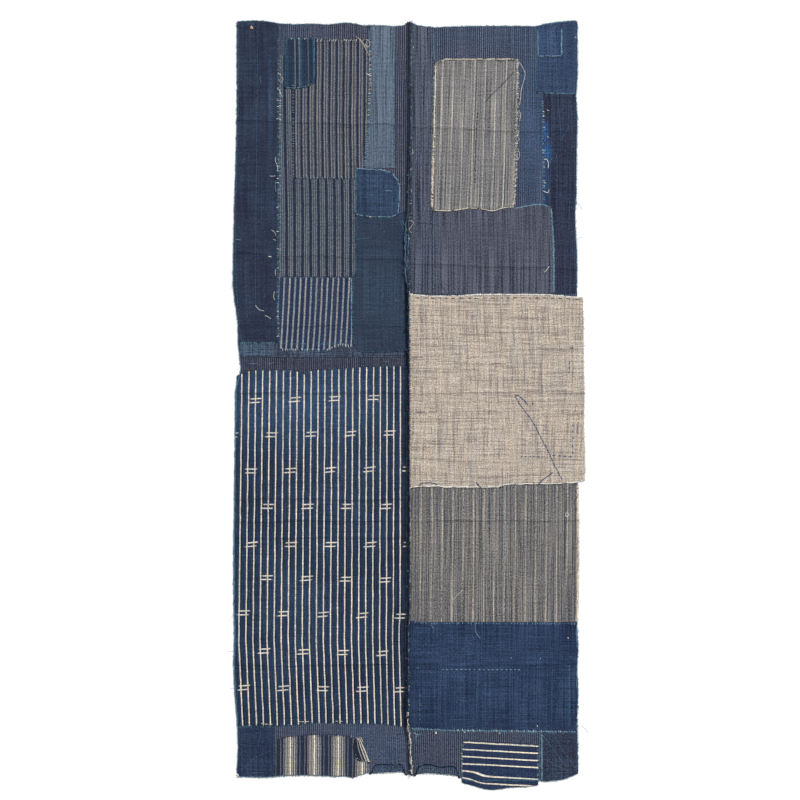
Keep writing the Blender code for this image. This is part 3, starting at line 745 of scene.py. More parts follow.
def new_group(name, inputs, outputs):
    """An empty shader group with named sockets, its input and output nodes and its helper."""
    tree = bpy.data.node_groups.new(name, "ShaderNodeTree")
    for label, kind, value in inputs:
        socket = tree.interface.new_socket(label, in_out="INPUT", socket_type=kind)
        if value is not None:
            socket.default_value = value
    for label, kind in outputs:
        tree.interface.new_socket(label, in_out="OUTPUT", socket_type=kind)
    nodes = Nodes(tree)
    return tree, nodes, nodes.add("NodeGroupInput"), nodes.add("NodeGroupOutput")


def thread_group():
    """Hand-woven threads: their crossings, with painted shade in the gaps between threads, slubs and uneven dye."""
    name = "Hand-woven threads"
    if name in bpy.data.node_groups:
        return bpy.data.node_groups[name]
    inputs = (
        ("Color", "NodeSocketColor", (0.1, 0.1, 0.1, 1.0)), ("Vector", "NodeSocketVector", None),
        ("Pitch", "NodeSocketFloat", 0.0009), ("Warp slubs", "NodeSocketFloat", 0.25),
        ("Weft slubs", "NodeSocketFloat", 0.15), ("Grain", "NodeSocketFloat", 0.2),
    )
    outputs = (("Color", "NodeSocketColor"), ("Height", "NodeSocketFloat"))
    tree, nodes, given, result = new_group(name, inputs, outputs)
    vector = given.outputs["Vector"]
    across, along = nodes.parts(vector)
    bars = []
    for place in (across, along):
        turn = nodes.math("DIVIDE", nodes.math("MULTIPLY", place, math.pi), given.outputs["Pitch"])
        bars.append(nodes.math("ABSOLUTE", nodes.math("SINE", turn)))
    crossings = nodes.math("MULTIPLY", *bars)
    warp = nodes.stretched_noise(across, along, 560.0, 6.0)
    weft = nodes.stretched_noise(across, along, 14.0, 520.0)
    fine = nodes.stretched_noise(across, along, 430.0, 360.0, detail=1.5)
    warp_share = nodes.math("MULTIPLY", nodes.between(warp, 0.25, 0.75, -0.5, 0.5), given.outputs["Warp slubs"])
    weft_share = nodes.math("MULTIPLY", nodes.between(weft, 0.25, 0.75, -0.5, 0.5), given.outputs["Weft slubs"])
    grain_share = nodes.math("MULTIPLY", nodes.between(fine, 0.25, 0.75, -0.5, 0.5), given.outputs["Grain"])
    uneven = nodes.math("ADD", nodes.math("ADD", warp_share, weft_share), grain_share)
    # The crossings lighten the threads' crowns and darken the gaps between them: painted shade in the weave
    shade = nodes.math("ADD", uneven, nodes.math("MULTIPLY_ADD", crossings, 0.18, 0.93))
    shade = nodes.math("MAXIMUM", shade, 0.25)
    tint = nodes.mix(nodes.between(warp, 0.3, 0.7), (0.93, 0.99, 1.07, 1.0), (1.06, 1.01, 0.95, 1.0))
    woven = nodes.mix(1.0, given.outputs["Color"], tint, "MULTIPLY")
    nodes.feed(result.inputs["Color"], nodes.mix(1.0, woven, nodes.vector(shade, shade, shade), "MULTIPLY"))
    height = nodes.math("ADD", crossings, nodes.math("MULTIPLY", uneven, 1.5))
    nodes.feed(result.inputs["Height"], height)
    return tree


def wear_group():
    """Old dye: soft mottling, washed-out places, and edges lightened in spots, partly rubbed wear and partly painted
    highlight.
    """
    name = "Worn dye"
    if name in bpy.data.node_groups:
        return bpy.data.node_groups[name]
    inputs = (
        ("Color", "NodeSocketColor", (0.1, 0.1, 0.1, 1.0)), ("Faded color", "NodeSocketColor", (0.2, 0.2, 0.2, 1.0)),
        ("Faded", "NodeSocketFloat", 0.0), ("Vector", "NodeSocketVector", None),
        ("Mottle", "NodeSocketFloat", 0.2), ("Rim", "NodeSocketFloat", 0.01),
        ("Rubbed", "NodeSocketFloat", 0.3),
    )
    outputs = (("Color", "NodeSocketColor"),)
    tree, nodes, given, result = new_group(name, inputs, outputs)
    vector = given.outputs["Vector"]
    broad = nodes.noise(vector, 14.0, 3.0)
    fine = nodes.noise(vector, 120.0, 3.0, 0.65)
    patchy = nodes.math("MULTIPLY", nodes.between(nodes.math("ADD", broad, nodes.math("MULTIPLY", fine, 0.6)),
                                                  0.55, 1.05), given.outputs["Mottle"])
    washed = nodes.math("MULTIPLY", given.outputs["Faded"], nodes.between(fine, 0.2, 0.7, 0.4, 1.0))
    share = nodes.math("ADD", patchy, washed, clamp=True)
    colour = nodes.mix(share, given.outputs["Color"], given.outputs["Faded color"])
    # Edges lightened in spots towards the faded colour: partly rubbed wear, partly painted highlight along the edges
    near = nodes.between(given.outputs["Rim"], 0.0, 0.0026, 1.0, 0.0)
    spots = nodes.between(nodes.noise(vector, 420.0, 2.0), 0.42, 0.62)
    rubbed = nodes.math("MULTIPLY", nodes.math("MULTIPLY", near, spots), given.outputs["Rubbed"])
    colour = nodes.mix(rubbed, colour, given.outputs["Faded color"])
    lint = nodes.between(nodes.noise(vector, 480.0, 1.0), 0.72, 0.78, 0.0, 0.50)
    nodes.feed(result.inputs["Color"], nodes.mix(lint, colour, dye("lint")))
    return tree


# Stripe repeats as (width in millimetres, colour name), from a patch's left or top edge
STRIPES = {
    "panel": ((2.05, "panel_dark"), (2.05, "panel_light")),
    "panel_brown": ((2.1, "brown_dark"), (2.0, "brown_light")),
    "upper": (
        (1.0, "grey_mid"), (4.6, "navy"), (2.4, "beige_line"), (3.2, "upper_mid"), (2.0, "beige_thin"),
        (0.8, "upper_mid"),
    ),
    "long": (
        (1.6, "beige_thin"), (2.2, "long_mid"), (1.4, "beige_thin"), (0.8, "long_mid"), (5.6, "navy"),
        (1.6, "beige_thin"), (2.8, "long_mid"),
    ),
    "lower": ((2.2, "lower_beige"), (7.6, "lower_blue"), (1.0, "lower_beige")),
    "lined": (
        (2.6, "navy"), (1.8, "teal_line"), (13.6, "lined_navy"), (2.8, "lined_beige"), (6.2, "lined_navy"),
        (2.2, "lined_beige"), (4.0, "teal_line"), (11.8, "lined_navy"), (2.2, "grey_mid"), (8.2, "lined_navy"),
        (2.0, "teal_line"), (1.4, "navy"),
    ),
    "bold": (
        (2.1, "cream_soft"), (2.0, "bold_gap"), (2.2, "cream_line"), (2.0, "bold_mid"), (2.5, "cream_line"),
        (1.6, "cream_gap"), (2.8, "cream_bright"), (1.6, "cream_gap"), (2.5, "cream_line"), (2.0, "bold_mid"),
        (2.2, "cream_line"), (2.0, "bold_gap"), (2.1, "cream_soft"), (4.6, "navy_soft"), (1.6, "grey_line"),
        (8.2, "navy_soft"), (1.6, "grey_line"), (4.4, "navy_soft"),
    ),
    "grey": (
        (4.8, "grey_beige"), (1.0, "grey_dark"), (2.0, "grey_light"), (4.4, "grey_beige"), (3.2, "grey_cream"),
        (1.8, "grey_dark"), (4.1, "grey_beige"),
    ),
    "wide": (
        (4.6, "wide_mid"), (1.4, "wide_dark"), (2.8, "wide_mid"), (2.0, "wide_dark"), (3.4, "wide_mid"),
        (1.7, "wide_cream"), (2.2, "wide_mid"), (1.0, "wide_dark"), (1.7, "wide_mid"),
    ),
    "kasuri": (
        (3.6, "kasuri_deep"), (2.4, "kasuri_navy"), (1.2, "kasuri_pale"), (1.5, "kasuri_deep"),
        (1.2, "kasuri_pale"), (2.4, "kasuri_navy"), (1.7, "kasuri_deep"),
    ),
    "cream_lines": ((2.4, "cream_bright"), (11.9, "deck_navy")),
    "corner_lines": (
        (2.0, "cream_bright"), (1.6, "navy"), (1.8, "cream_bright"), (2.6, "navy"), (1.5, "cream_line"),
        (20.0, "navy"),
    ),
}

# The look of each sheet: pattern, ground colour, faded colour, thread pitch in millimetres, slubs, grain, mottle,
# how much its edges are lightened, as rubbed wear and painted highlight, and where its repeat starts in millimetres
Look = namedtuple("Look", "pattern ground faded pitch warp weft grain mottle rubbed start")

LOOKS = {
    "left_panel": Look("panel_brown", "", "panel_faded", 0.9, 0.6, 0.3, 1.0, 0.25, 0.5, 0.0),
    "right_panel": Look("panel", "", "panel_faded", 0.9, 0.6, 0.3, 1.0, 0.25, 0.5, 0.6),
    "left_edge_strip": Look("", "dark_indigo", "worn_indigo", 0.9, 0.5, 0.4, 0.8, 0.45, 0.4, 0.0),
    "long_striped_patch": Look("long", "", "grey_blue", 0.8, 0.5, 0.3, 1.0, 0.12, 0.3, 0.0),
    "upper_striped_patch": Look("upper", "", "grey_mid", 0.8, 0.5, 0.3, 1.0, 0.10, 0.3, 0.0),
    "small_lined_patch": Look("lined", "", "teal_line", 0.8, 0.5, 0.3, 1.0, 0.20, 0.5, 0.0),
    "narrow_band": Look("", "band_grey", "band_pale", 0.9, 0.9, 0.9, 1.2, 0.35, 0.4, 0.0),
    "lower_striped_patch": Look("lower", "", "grey_mid", 0.8, 0.5, 0.3, 1.0, 0.10, 0.3, 0.0),
    "pale_strip": Look("", "pale_blue", "pale_faded", 0.9, 1.0, 0.3, 0.9, 0.35, 0.4, 0.0),
    "teal_patch": Look("", "deep_teal", "teal_faded", 0.9, 0.5, 0.4, 0.7, 0.35, 0.4, 0.0),
    "blue_patch": Look("", "mid_blue", "mid_faded", 0.9, 0.7, 0.5, 0.9, 0.35, 0.6, 0.0),
    "kasuri_patch": Look("kasuri", "", "kasuri_faded", 0.9, 0.4, 0.4, 0.8, 0.25, 0.4, -1.2),
    "left_corner_patch": Look("", "corner_indigo", "worn_indigo", 0.9, 0.8, 0.5, 1.3, 0.40, 0.5, 0.0),
    "bold_striped_patch": Look("bold", "", "grey_mid", 0.8, 0.4, 0.3, 0.8, 0.10, 0.3, 15.1),
    "brown_strip": Look("", "brown_grey", "grey_mid", 0.9, 1.5, 0.3, 1.2, 0.30, 0.4, 0.0),
    "brown_patch": Look("", "brown_blue", "grey_mid", 0.9, 1.3, 0.3, 1.0, 0.25, 0.5, 0.0),
    "grey_striped_patch": Look("grey", "", "grey_light", 0.9, 1.0, 0.3, 0.9, 0.12, 0.5, 3.0),
    "linen_patch": Look("", "linen", "linen_light", 1.4, 0.1, 0.1, 0.8, 0.05, 0.5, 0.0),
    "wide_striped_patch": Look("wide", "", "wide_light", 0.9, 1.1, 0.3, 1.2, 0.12, 0.4, 9.6),
    "indigo_patch": Look("", "indigo", "indigo_faded", 0.9, 0.8, 0.6, 1.0, 0.45, 0.5, 0.0),
    "cream_lined_patch": Look("cream_lines", "", "grey_mid", 0.8, 0.4, 0.5, 0.8, 0.10, 0.3, 0.8),
    "top_corner_patch": Look("", "corner_blue", "mid_faded", 0.9, 0.6, 0.4, 1.0, 0.35, 0.4, 0.0),
    "small_corner_patch": Look("", "small_blue", "mid_faded", 0.9, 0.6, 0.5, 1.1, 0.45, 0.6, 0.0),
    "right_edge_strip": Look("", "dark_navy", "bright_worn", 0.9, 0.9, 0.4, 1.2, 0.10, 0.4, 0.0),
    "right_corner_patch": Look("", "corner_dark", "worn_indigo", 0.9, 0.8, 0.6, 1.5, 0.40, 0.5, 0.0),
    "bold_striped_corner": Look("corner_lines", "", "grey_mid", 0.8, 0.4, 0.3, 0.8, 0.10, 0.3, 0.0),
}

# Colours as they look on the cloth, in 8-bit sRGB
SHADES = {
    "panel_dark": (37, 44, 61), "panel_light": (97, 103, 120), "panel_faded": (63, 82, 111),
    "brown_dark": (36, 40, 55), "brown_light": (98, 100, 115), "dark_indigo": (41, 46, 65),
    "worn_indigo": (58, 76, 100), "navy": (33, 45, 67), "navy_soft": (34, 45, 69), "lined_navy": (38, 51, 72),
    "beige_line": (129, 127, 126), "beige_thin": (120, 121, 124),
    "kasuri_pale": (43, 60, 87), "kasuri_blush": (218, 206, 191), "bold_gap": (54, 62, 80),
    "cream_gap": (72, 76, 86), "lower_beige": (146, 145, 147), "lower_blue": (38, 54, 82),
    "bold_mid": (70, 76, 90), "band_pale": (78, 98, 120),
    "lint": (176, 190, 198), "lined_beige": (104, 106, 110),
    "linen_streak": (108, 97, 98), "upper_mid": (68, 74, 88), "long_mid": (64, 74, 90), "deck_navy": (38, 53, 82),
    "grey_mid": (88, 90, 100), "grey_blue": (80, 88, 102), "grey_line": (104, 102, 106),
    "teal_line": (52, 80, 104), "cream_soft": (122, 122, 123), "cream_line": (168, 162, 153),
    "cream_bright": (240, 230, 210), "grey_beige": (125, 124, 125), "grey_light": (140, 138, 134),
    "grey_cream": (166, 162, 156), "grey_dark": (88, 91, 98), "wide_mid": (114, 112, 111),
    "wide_dark": (68, 73, 90), "wide_cream": (172, 166, 154), "wide_light": (132, 129, 124),
    "kasuri_cream": (232, 224, 209), "kasuri_deep": (12, 21, 37), "kasuri_navy": (28, 41, 64),
    "kasuri_faded": (55, 78, 108), "band_grey": (62, 69, 86), "pale_blue": (91, 104, 120),
    "pale_faded": (98, 114, 134), "deep_teal": (48, 57, 76), "teal_faded": (56, 74, 95),
    "mid_blue": (45, 59, 82), "mid_faded": (66, 90, 118), "corner_indigo": (39, 50, 75),
    "brown_grey": (77, 84, 101), "brown_blue": (79, 84, 99), "linen": (186, 173, 159),
    "linen_light": (216, 203, 187), "linen_dark": (130, 122, 124), "indigo": (38, 50, 77),
    "indigo_faded": (54, 76, 106), "corner_blue": (52, 66, 94), "small_blue": (53, 67, 99),
    "dark_navy": (48, 52, 69), "bright_worn": (54, 98, 150), "corner_dark": (49, 55, 73),
    # The darkest navy below is the colour of painted shade at the seam and in the creases
    "seam_teal": (98, 124, 142), "seam_dark": (12, 22, 41),
    "white_thread": (248, 246, 240), "cream_thread": (230, 219, 198), "pale_blue_thread": (150, 192, 214),
    # The dark thread colour below also draws painted shadow lines beside patch edges; the ink-dark one draws only
    # painted shadow lines
    "teal_thread": (92, 146, 164), "blue_thread": (58, 84, 124), "dark_thread": (30, 38, 58), "ink_thread": (12, 18, 30),
    "orange_thread": (216, 160, 120), "linen_thread": (200, 188, 172), "worn_blue_thread": (84, 114, 146),
    "bright_thread": (70, 124, 180),
}


def dye(name):
    """A shade, or the user's own choice for it, as a linear colour for a shader."""
    levels = [level / 255.0 for level in SHADES[name]]
    if name in BoroSizes.__annotations__:
        levels = getattr(bpy.context.scene.boro_sizes, name)
    linear = [level / 12.92 if level <= 0.04045 else ((level + 0.055) / 1.055) ** 2.4 for level in levels]
    return (*linear, 1.0)


def shade_property(name, label, description):
    """A colour that a user may change, which starts as one of the shades."""
    return bpy.props.FloatVectorProperty(
        name=label, description=description, subtype="COLOR_GAMMA", size=3, min=0.0, max=1.0,
        default=[level / 255.0 for level in SHADES[name]])


def stripe_colour(nodes, across, stripes, start):
    """The colour of a stripe repeat at a place across it, in metres."""
    total = sum(width for width, _ in stripes)
    share = nodes.math("FRACT", nodes.math("DIVIDE", nodes.math("SUBTRACT", across, start * MM), total * MM))
    stops = []
    place = 0.0
    for width, shade in stripes:
        stops.append((place / total, dye(shade)))
        place += width
    return nodes.ramp(share, stops, "CONSTANT")


def linen_colour(nodes, vector):
    """Coarse linen: uneven threads both ways, some pale and some grey-violet."""
    across, along = nodes.parts(vector)
    colour = dye("linen")
    for turn, (x_scale, y_scale, share) in enumerate(LINEN_THREADS):
        place = nodes.vector(nodes.math("MULTIPLY", across, x_scale), nodes.math("MULTIPLY", along, y_scale), 3.7 * turn)
        threads = nodes.noise(place, 1.0, 1.0)
        dark = nodes.between(threads, 0.57, 0.67)
        colour = nodes.mix(nodes.math("MULTIPLY", dark, share), colour, dye("linen_streak"))
        light = nodes.between(threads, 0.43, 0.33)
        colour = nodes.mix(nodes.math("MULTIPLY", light, share), colour, dye("linen_light"))
    return colour


# Linen threads: how often they change across and along the cloth, per metre, and how much they show
LINEN_THREADS = ((350.0, 9.0, 0.60), (9.0, 350.0, 0.54), (480.0, 26.0, 0.46), (28.0, 480.0, 0.42))


def kasuri_cream(nodes, colour, across, along):
    """Cream stripes and pairs of cream dashes, tied and dyed, a little aslant, with feathered ends."""
    marks = nodes.add("ShaderNodeUVMap", uv_map="marks").outputs[0]
    column, row = nodes.parts(marks)
    column_middle = nodes.math("ROUND", column)
    row_middle = nodes.math("ROUND", row)
    chance = nodes.add("ShaderNodeTexWhiteNoise", noise_dimensions="2D")
    nodes.feed(chance.inputs["Vector"], nodes.vector(column_middle, row_middle))
    luck = nodes.math("SUBTRACT", chance.outputs["Value"], 0.5)
    over = nodes.math("MULTIPLY", nodes.math("SUBTRACT", column, column_middle), KASURI_PITCH * MM)
    up = nodes.math("MULTIPLY", nodes.math("SUBTRACT", row, row_middle), KASURI_DROP * MM)
    tilt = nodes.math("MULTIPLY_ADD", luck, 0.12, 0.05)
    up = nodes.math("SUBTRACT", up, nodes.math("MULTIPLY", over, tilt))
    over = nodes.math("SUBTRACT", over, nodes.math("MULTIPLY", nodes.math("SIGN", up), 0.0014))
    reach = nodes.math("MULTIPLY_ADD", nodes.stretched_noise(across, along, 60.0, 1500.0), 0.012, 0.0050)
    inside = nodes.between(nodes.math("SUBTRACT", nodes.math("ABSOLUTE", over), reach), -0.0026, 0.0014, 1.0, 0.0)
    offset = nodes.math("ABSOLUTE", nodes.math("SUBTRACT", nodes.math("ABSOLUTE", up), 0.0038))
    bar = nodes.between(offset, 0.0006, 0.0016, 1.0, 0.0)
    dash = nodes.math("MULTIPLY", inside, bar)
    place = nodes.math("DIVIDE", nodes.math("ADD", across, 0.0012), KASURI_STRIPE * MM)
    aside = nodes.math("ABSOLUTE", nodes.math("SUBTRACT", place, nodes.math("ROUND", place)))
    width = nodes.math("MULTIPLY_ADD", nodes.stretched_noise(across, along, 90.0, 60.0), 0.05, 0.055)
    line = nodes.between(nodes.math("SUBTRACT", aside, width), -0.025, 0.03, 1.0, 0.0)
    cream = nodes.mix(nodes.stretched_noise(across, along, 40.0, 30.0), dye("kasuri_cream"), dye("kasuri_blush"))
    return nodes.mix(nodes.math("MAXIMUM", line, dash), colour, cream)


def cloth_material(name):
    """The woven, dyed and worn cloth of one sheet."""
    look = LOOKS[name]
    material = bpy.data.materials.new(f"{name}_weave")
    material.use_nodes = True
    nodes = Nodes(material.node_tree)
    shader = material.node_tree.nodes["Principled BSDF"]
    uv = nodes.add("ShaderNodeUVMap", uv_map="UVMap").outputs[0]
    across, along = nodes.parts(uv)
    wobble = nodes.stretched_noise(across, along, 50.0, 32.0, detail=2.0)
    bent = nodes.math("MULTIPLY_ADD", nodes.math("SUBTRACT", wobble, 0.5), 0.0018, across)
    vector = nodes.vector(bent, along)
    if name == "linen_patch":
        colour = linen_colour(nodes, vector)
    elif look.pattern:
        colour = stripe_colour(nodes, bent, STRIPES[look.pattern], look.start)
    else:
        colour = dye(look.ground)
    worn = nodes.group(wear_group(), Color=colour, Faded_color=dye(look.faded), Vector=uv,
                       Faded=nodes.attribute("faded"), Mottle=look.mottle, Rim=nodes.attribute("rim"),
                       Rubbed=look.rubbed)
    colour = worn.outputs["Color"]
    if name == "kasuri_patch":
        colour = kasuri_cream(nodes, colour, bent, along)
    # Painted shade along the fold lines, broken in places
    creased = nodes.math("ABSOLUTE", nodes.attribute("crease"))
    broken = nodes.between(nodes.stretched_noise(across, along, 45.0, 200.0), 0.35, 0.6, 0.25, 0.75)
    crease_shade = nodes.math("MULTIPLY", nodes.between(creased, 0.0002, 0.0022, 1.0, 0.0), broken)
    colour = nodes.mix(nodes.math("MULTIPLY", crease_shade, 0.6), colour, dye("seam_dark"))
    clumps = nodes.between(nodes.stretched_noise(across, along, 60.0, 90.0), 0.40, 0.60, 0.15, 0.85)
    flecks = nodes.between(nodes.stretched_noise(across, along, 330.0, 240.0), 0.54, 0.66)
    flecks = nodes.math("MULTIPLY", flecks, clumps)
    raw = nodes.mix(nodes.math("MULTIPLY", nodes.attribute("raw_edge"), flecks), colour, dye("seam_teal"))
    # Painted shade: the cloth beside and inside the seam drawn towards a dark navy
    seam_shaded = nodes.mix(nodes.math("MULTIPLY", nodes.attribute("grime"), 0.90), raw, dye("seam_dark"))
    threads = nodes.group(thread_group(), Color=seam_shaded, Vector=vector, Pitch=look.pitch * MM,
                          Warp_slubs=look.warp, Weft_slubs=look.weft, Grain=look.grain)
    nodes.feed(shader.inputs["Base Color"], threads.outputs["Color"])
    bump = nodes.add("ShaderNodeBump")
    bump.inputs["Strength"].default_value = 0.35
    bump.inputs["Distance"].default_value = 0.0003
    nodes.feed(bump.inputs["Height"], threads.outputs["Height"])
    nodes.feed(shader.inputs["Normal"], bump.outputs[0])
    shader.inputs["Roughness"].default_value = 0.92
    shader.inputs["Specular IOR Level"].default_value = 0.12
    shader.inputs["Sheen Weight"].default_value = 0.04
    return material


def finish_piece(obj, material):
    """Give a piece its material and its body."""
    obj.data.materials.clear()
    obj.data.materials.append(material)
    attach(obj, "root")


def finish_sheet(sheet, settings):
    """Make a sheet, stand it in for its solid and work out the size that was cut for it."""
    obj = weave_sheet(sheet, settings)
    tidy_grid(obj)
    finish_piece(obj, cloth_material(sheet.name))
    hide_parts(sheet.name)
    width, length = cut_size(sheet)


def cut_size(sheet):
    """Mean width and length that a sheet was cut to, with its seam allowance, in millimetres."""
    down = np.linspace(sheet.bottom, sheet.top, 90)
    over = np.linspace(sheet.left, sheet.right, 90)
    left, right = [float(np.mean(edge_out(sheet, edge, down))) for edge in ("left", "right")]
    bottom, top = [float(np.mean(edge_out(sheet, edge, over))) for edge in ("bottom", "top")]
    width = sheet.right - sheet.left + left + right + (SEAM_HEIGHT if sheet.in_seam else 0.0)
    return width, sheet.top - sheet.bottom + bottom + top


# Stitches over an edge, at places along it in millimetres: spacing, stitch length, thread radius, colour, skipped share
Whip = namedtuple("Whip", "sheet edge start end spacing length radius colour skip")

WHIPS = (
    Whip("upper_striped_patch", "top", -196, -84, 6.4, 4.6, 0.36, "cream_thread", 0.10),
    Whip("upper_striped_patch", "top", -196, -84, 5.0, 3.4, 0.26, "dark_thread", 0.20),
    Whip("upper_striped_patch", "right", 476, 728, 6.0, 4.4, 0.34, "pale_blue_thread", 0.15),
    Whip("upper_striped_patch", "right", 560, 728, 9.0, 4.6, 0.40, "cream_thread", 0.25),
    Whip("upper_striped_patch", "right", 476, 728, 4.0, 5.4, 0.34, "dark_thread", 0.15),
    Whip("upper_striped_patch", "left", 460, 640, 5.6, 3.6, 0.30, "pale_blue_thread", 0.15),
    Whip("upper_striped_patch", "bottom", -230, -110, 6.4, 4.2, 0.32, "pale_blue_thread", 0.15),
    Whip("small_lined_patch", "left", 636, 732, 3.4, 3.0, 0.26, "teal_thread", 0.15),
    Whip("small_lined_patch", "right", 648, 732, 3.4, 3.0, 0.26, "teal_thread", 0.15),
    Whip("small_lined_patch", "bottom", -246, -192, 3.4, 3.0, 0.28, "pale_blue_thread", 0.25),
    Whip("small_lined_patch", "top", -246, -192, 4.0, 3.0, 0.26, "teal_thread", 0.25),
    Whip("small_lined_patch", "top", -240, -192, 9.0, 4.0, 0.36, "cream_thread", 0.40),
    Whip("long_striped_patch", "left", 300, 690, 8.0, 3.8, 0.30, "pale_blue_thread", 0.50),
    Whip("long_striped_patch", "left", 560, 690, 14.0, 4.0, 0.40, "white_thread", 0.55),
    Whip("long_striped_patch", "left", 270, 560, 6.0, 3.6, 0.28, "teal_thread", 0.30),
    Whip("long_striped_patch", "right", 262, 452, 5.2, 3.4, 0.28, "teal_thread", 0.20),
    Whip("long_striped_patch", "bottom", -256, -112, 6.0, 3.0, 0.24, "dark_thread", 0.25),
    Whip("lower_striped_patch", "bottom", -256, -118, 5.4, 4.6, 0.34, "white_thread", 0.20),
    Whip("lower_striped_patch", "bottom", -256, -118, 4.6, 3.4, 0.28, "pale_blue_thread", 0.25),
    Whip("lower_striped_patch", "right", 132, 252, 2.6, 2.6, 0.30, "pale_blue_thread", 0.10),
    Whip("lower_striped_patch", "left", 118, 250, 5.0, 3.6, 0.28, "pale_blue_thread", 0.25),
    Whip("lower_striped_patch", "top", -258, -114, 3.4, 3.0, 0.34, "worn_blue_thread", 0.15),
    Whip("pale_strip", "right", 480, 752, 5.0, 2.6, 0.24, "pale_blue_thread", 0.50),
    Whip("pale_strip", "left", 480, 750, 8.0, 3.0, 0.24, "pale_blue_thread", 0.40),
    Whip("blue_patch", "left", 380, 470, 2.8, 2.6, 0.28, "pale_blue_thread", 0.12),
    Whip("blue_patch", "right", 380, 470, 2.6, 2.8, 0.30, "pale_blue_thread", 0.10),
    Whip("blue_patch", "top", -104, -24, 2.8, 2.6, 0.28, "pale_blue_thread", 0.15),
    Whip("blue_patch", "bottom", -104, -24, 2.8, 2.8, 0.28, "pale_blue_thread", 0.12),
    Whip("teal_patch", "left", 112, 376, 3.6, 2.8, 0.26, "teal_thread", 0.20),
    Whip("teal_patch", "bottom", -104, -8, 3.4, 3.0, 0.28, "teal_thread", 0.20),
    Whip("narrow_band", "top", -336, -120, 5.4, 3.2, 0.26, "teal_thread", 0.30),
    Whip("narrow_band", "bottom", -336, -20, 5.4, 3.0, 0.24, "dark_thread", 0.35),
    Whip("left_edge_strip", "bottom", -338, -268, 5.0, 3.4, 0.28, "pale_blue_thread", 0.25),
    Whip("left_edge_strip", "right", 128, 620, 12.0, 3.4, 0.40, "white_thread", 0.60),
    Whip("kasuri_patch", "top", -340, -16, 4.0, 3.0, 0.28, "dark_thread", 0.20),
    Whip("kasuri_patch", "top", -250, -12, 7.0, 3.0, 0.28, "teal_thread", 0.30),
    Whip("kasuri_patch", "bottom", -340, -12, 7.0, 4.0, 0.28, "teal_thread", 0.25),
    Whip("left_corner_patch", "top", -342, -272, 6.0, 3.0, 0.26, "teal_thread", 0.30),
    Whip("left_corner_patch", "right", -738, -646, 4.6, 3.2, 0.28, "dark_thread", 0.30),
    Whip("bold_striped_patch", "top", -264, -114, 4.6, 4.4, 0.34, "dark_thread", 0.15),
    Whip("bold_striped_patch", "left", -738, -672, 4.6, 3.6, 0.30, "dark_thread", 0.20),
    Whip("brown_strip", "right", 400, 750, 5.4, 2.8, 0.24, "teal_thread", 0.45),
    Whip("brown_patch", "right", 226, 392, 2.8, 3.0, 0.30, "pale_blue_thread", 0.10),
    Whip("brown_patch", "top", 216, 286, 3.4, 3.2, 0.28, "pale_blue_thread", 0.15),
    Whip("brown_patch", "left", 226, 386, 5.0, 3.0, 0.26, "teal_thread", 0.35),
    Whip("grey_striped_patch", "left", 396, 684, 3.4, 4.4, 0.50, "white_thread", 0.25),
    Whip("grey_striped_patch", "top", 56, 212, 4.6, 3.8, 0.34, "cream_thread", 0.20),
    Whip("grey_striped_patch", "top", 56, 212, 5.0, 4.4, 0.32, "dark_thread", 0.25),
    Whip("grey_striped_patch", "right", 396, 684, 4.2, 4.6, 0.32, "dark_thread", 0.15),
    Whip("grey_striped_patch", "right", 396, 684, 8.0, 4.8, 0.36, "white_thread", 0.35),
    Whip("grey_striped_patch", "bottom", 56, 212, 4.8, 4.4, 0.32, "dark_thread", 0.15),
    Whip("grey_striped_patch", "bottom", 56, 212, 7.0, 3.0, 0.32, "cream_thread", 0.40),
    Whip("linen_patch", "top", 8, 344, 4.0, 3.4, 0.50, "white_thread", 0.25),
    Whip("linen_patch", "bottom", 8, 344, 5.0, 3.4, 0.45, "white_thread", 0.25),
    Whip("linen_patch", "left", -160, 216, 4.0, 4.2, 0.46, "cream_thread", 0.30),
    Whip("wide_striped_patch", "top", 10, 334, 6.0, 3.4, 0.28, "dark_thread", 0.30),
    Whip("indigo_patch", "top", 10, 334, 4.6, 3.6, 0.28, "pale_blue_thread", 0.25),
    Whip("indigo_patch", "top", 10, 334, 6.0, 4.2, 0.30, "dark_thread", 0.30),
    Whip("indigo_patch", "bottom", 10, 334, 4.0, 4.4, 0.32, "pale_blue_thread", 0.12),
    Whip("indigo_patch", "bottom", 60, 334, 12.0, 4.4, 0.32, "white_thread", 0.50),
    Whip("cream_lined_patch", "left", -756, -680, 4.0, 3.4, 0.28, "teal_thread", 0.25),
    Whip("cream_lined_patch", "right", -756, -684, 3.6, 3.2, 0.28, "pale_blue_thread", 0.25),
    Whip("cream_lined_patch", "top", 110, 254, 5.0, 3.6, 0.28, "dark_thread", 0.25),
    Whip("top_corner_patch", "left", 628, 752, 3.6, 2.8, 0.26, "teal_thread", 0.20),
    Whip("top_corner_patch", "bottom", 258, 334, 4.4, 3.0, 0.28, "teal_thread", 0.25),
    Whip("small_corner_patch", "left", 700, 750, 2.8, 2.8, 0.28, "pale_blue_thread", 0.12),
    Whip("small_corner_patch", "right", 700, 750, 2.6, 2.8, 0.30, "pale_blue_thread", 0.10),
    Whip("small_corner_patch", "bottom", 260, 303, 2.6, 2.8, 0.30, "pale_blue_thread", 0.10),
    Whip("right_edge_strip", "left", 400, 616, 4.6, 3.6, 0.30, "pale_blue_thread", 0.30),
    Whip("right_edge_strip", "left", 420, 600, 12.0, 4.0, 0.36, "white_thread", 0.45),
    Whip("right_corner_patch", "left", -746, -660, 3.0, 3.8, 0.34, "pale_blue_thread", 0.10),
    Whip("right_corner_patch", "top", 268, 334, 5.0, 3.2, 0.28, "dark_thread", 0.25),
)

# Threads that run along an edge: distance inside it, radius, colour and how often they break. The dark and ink-dark
# lines a little outside an edge, at a negative distance, are painted shadow lines along the edges.
Trim = namedtuple("Trim", "sheet edge start end inside radius colour breaks")

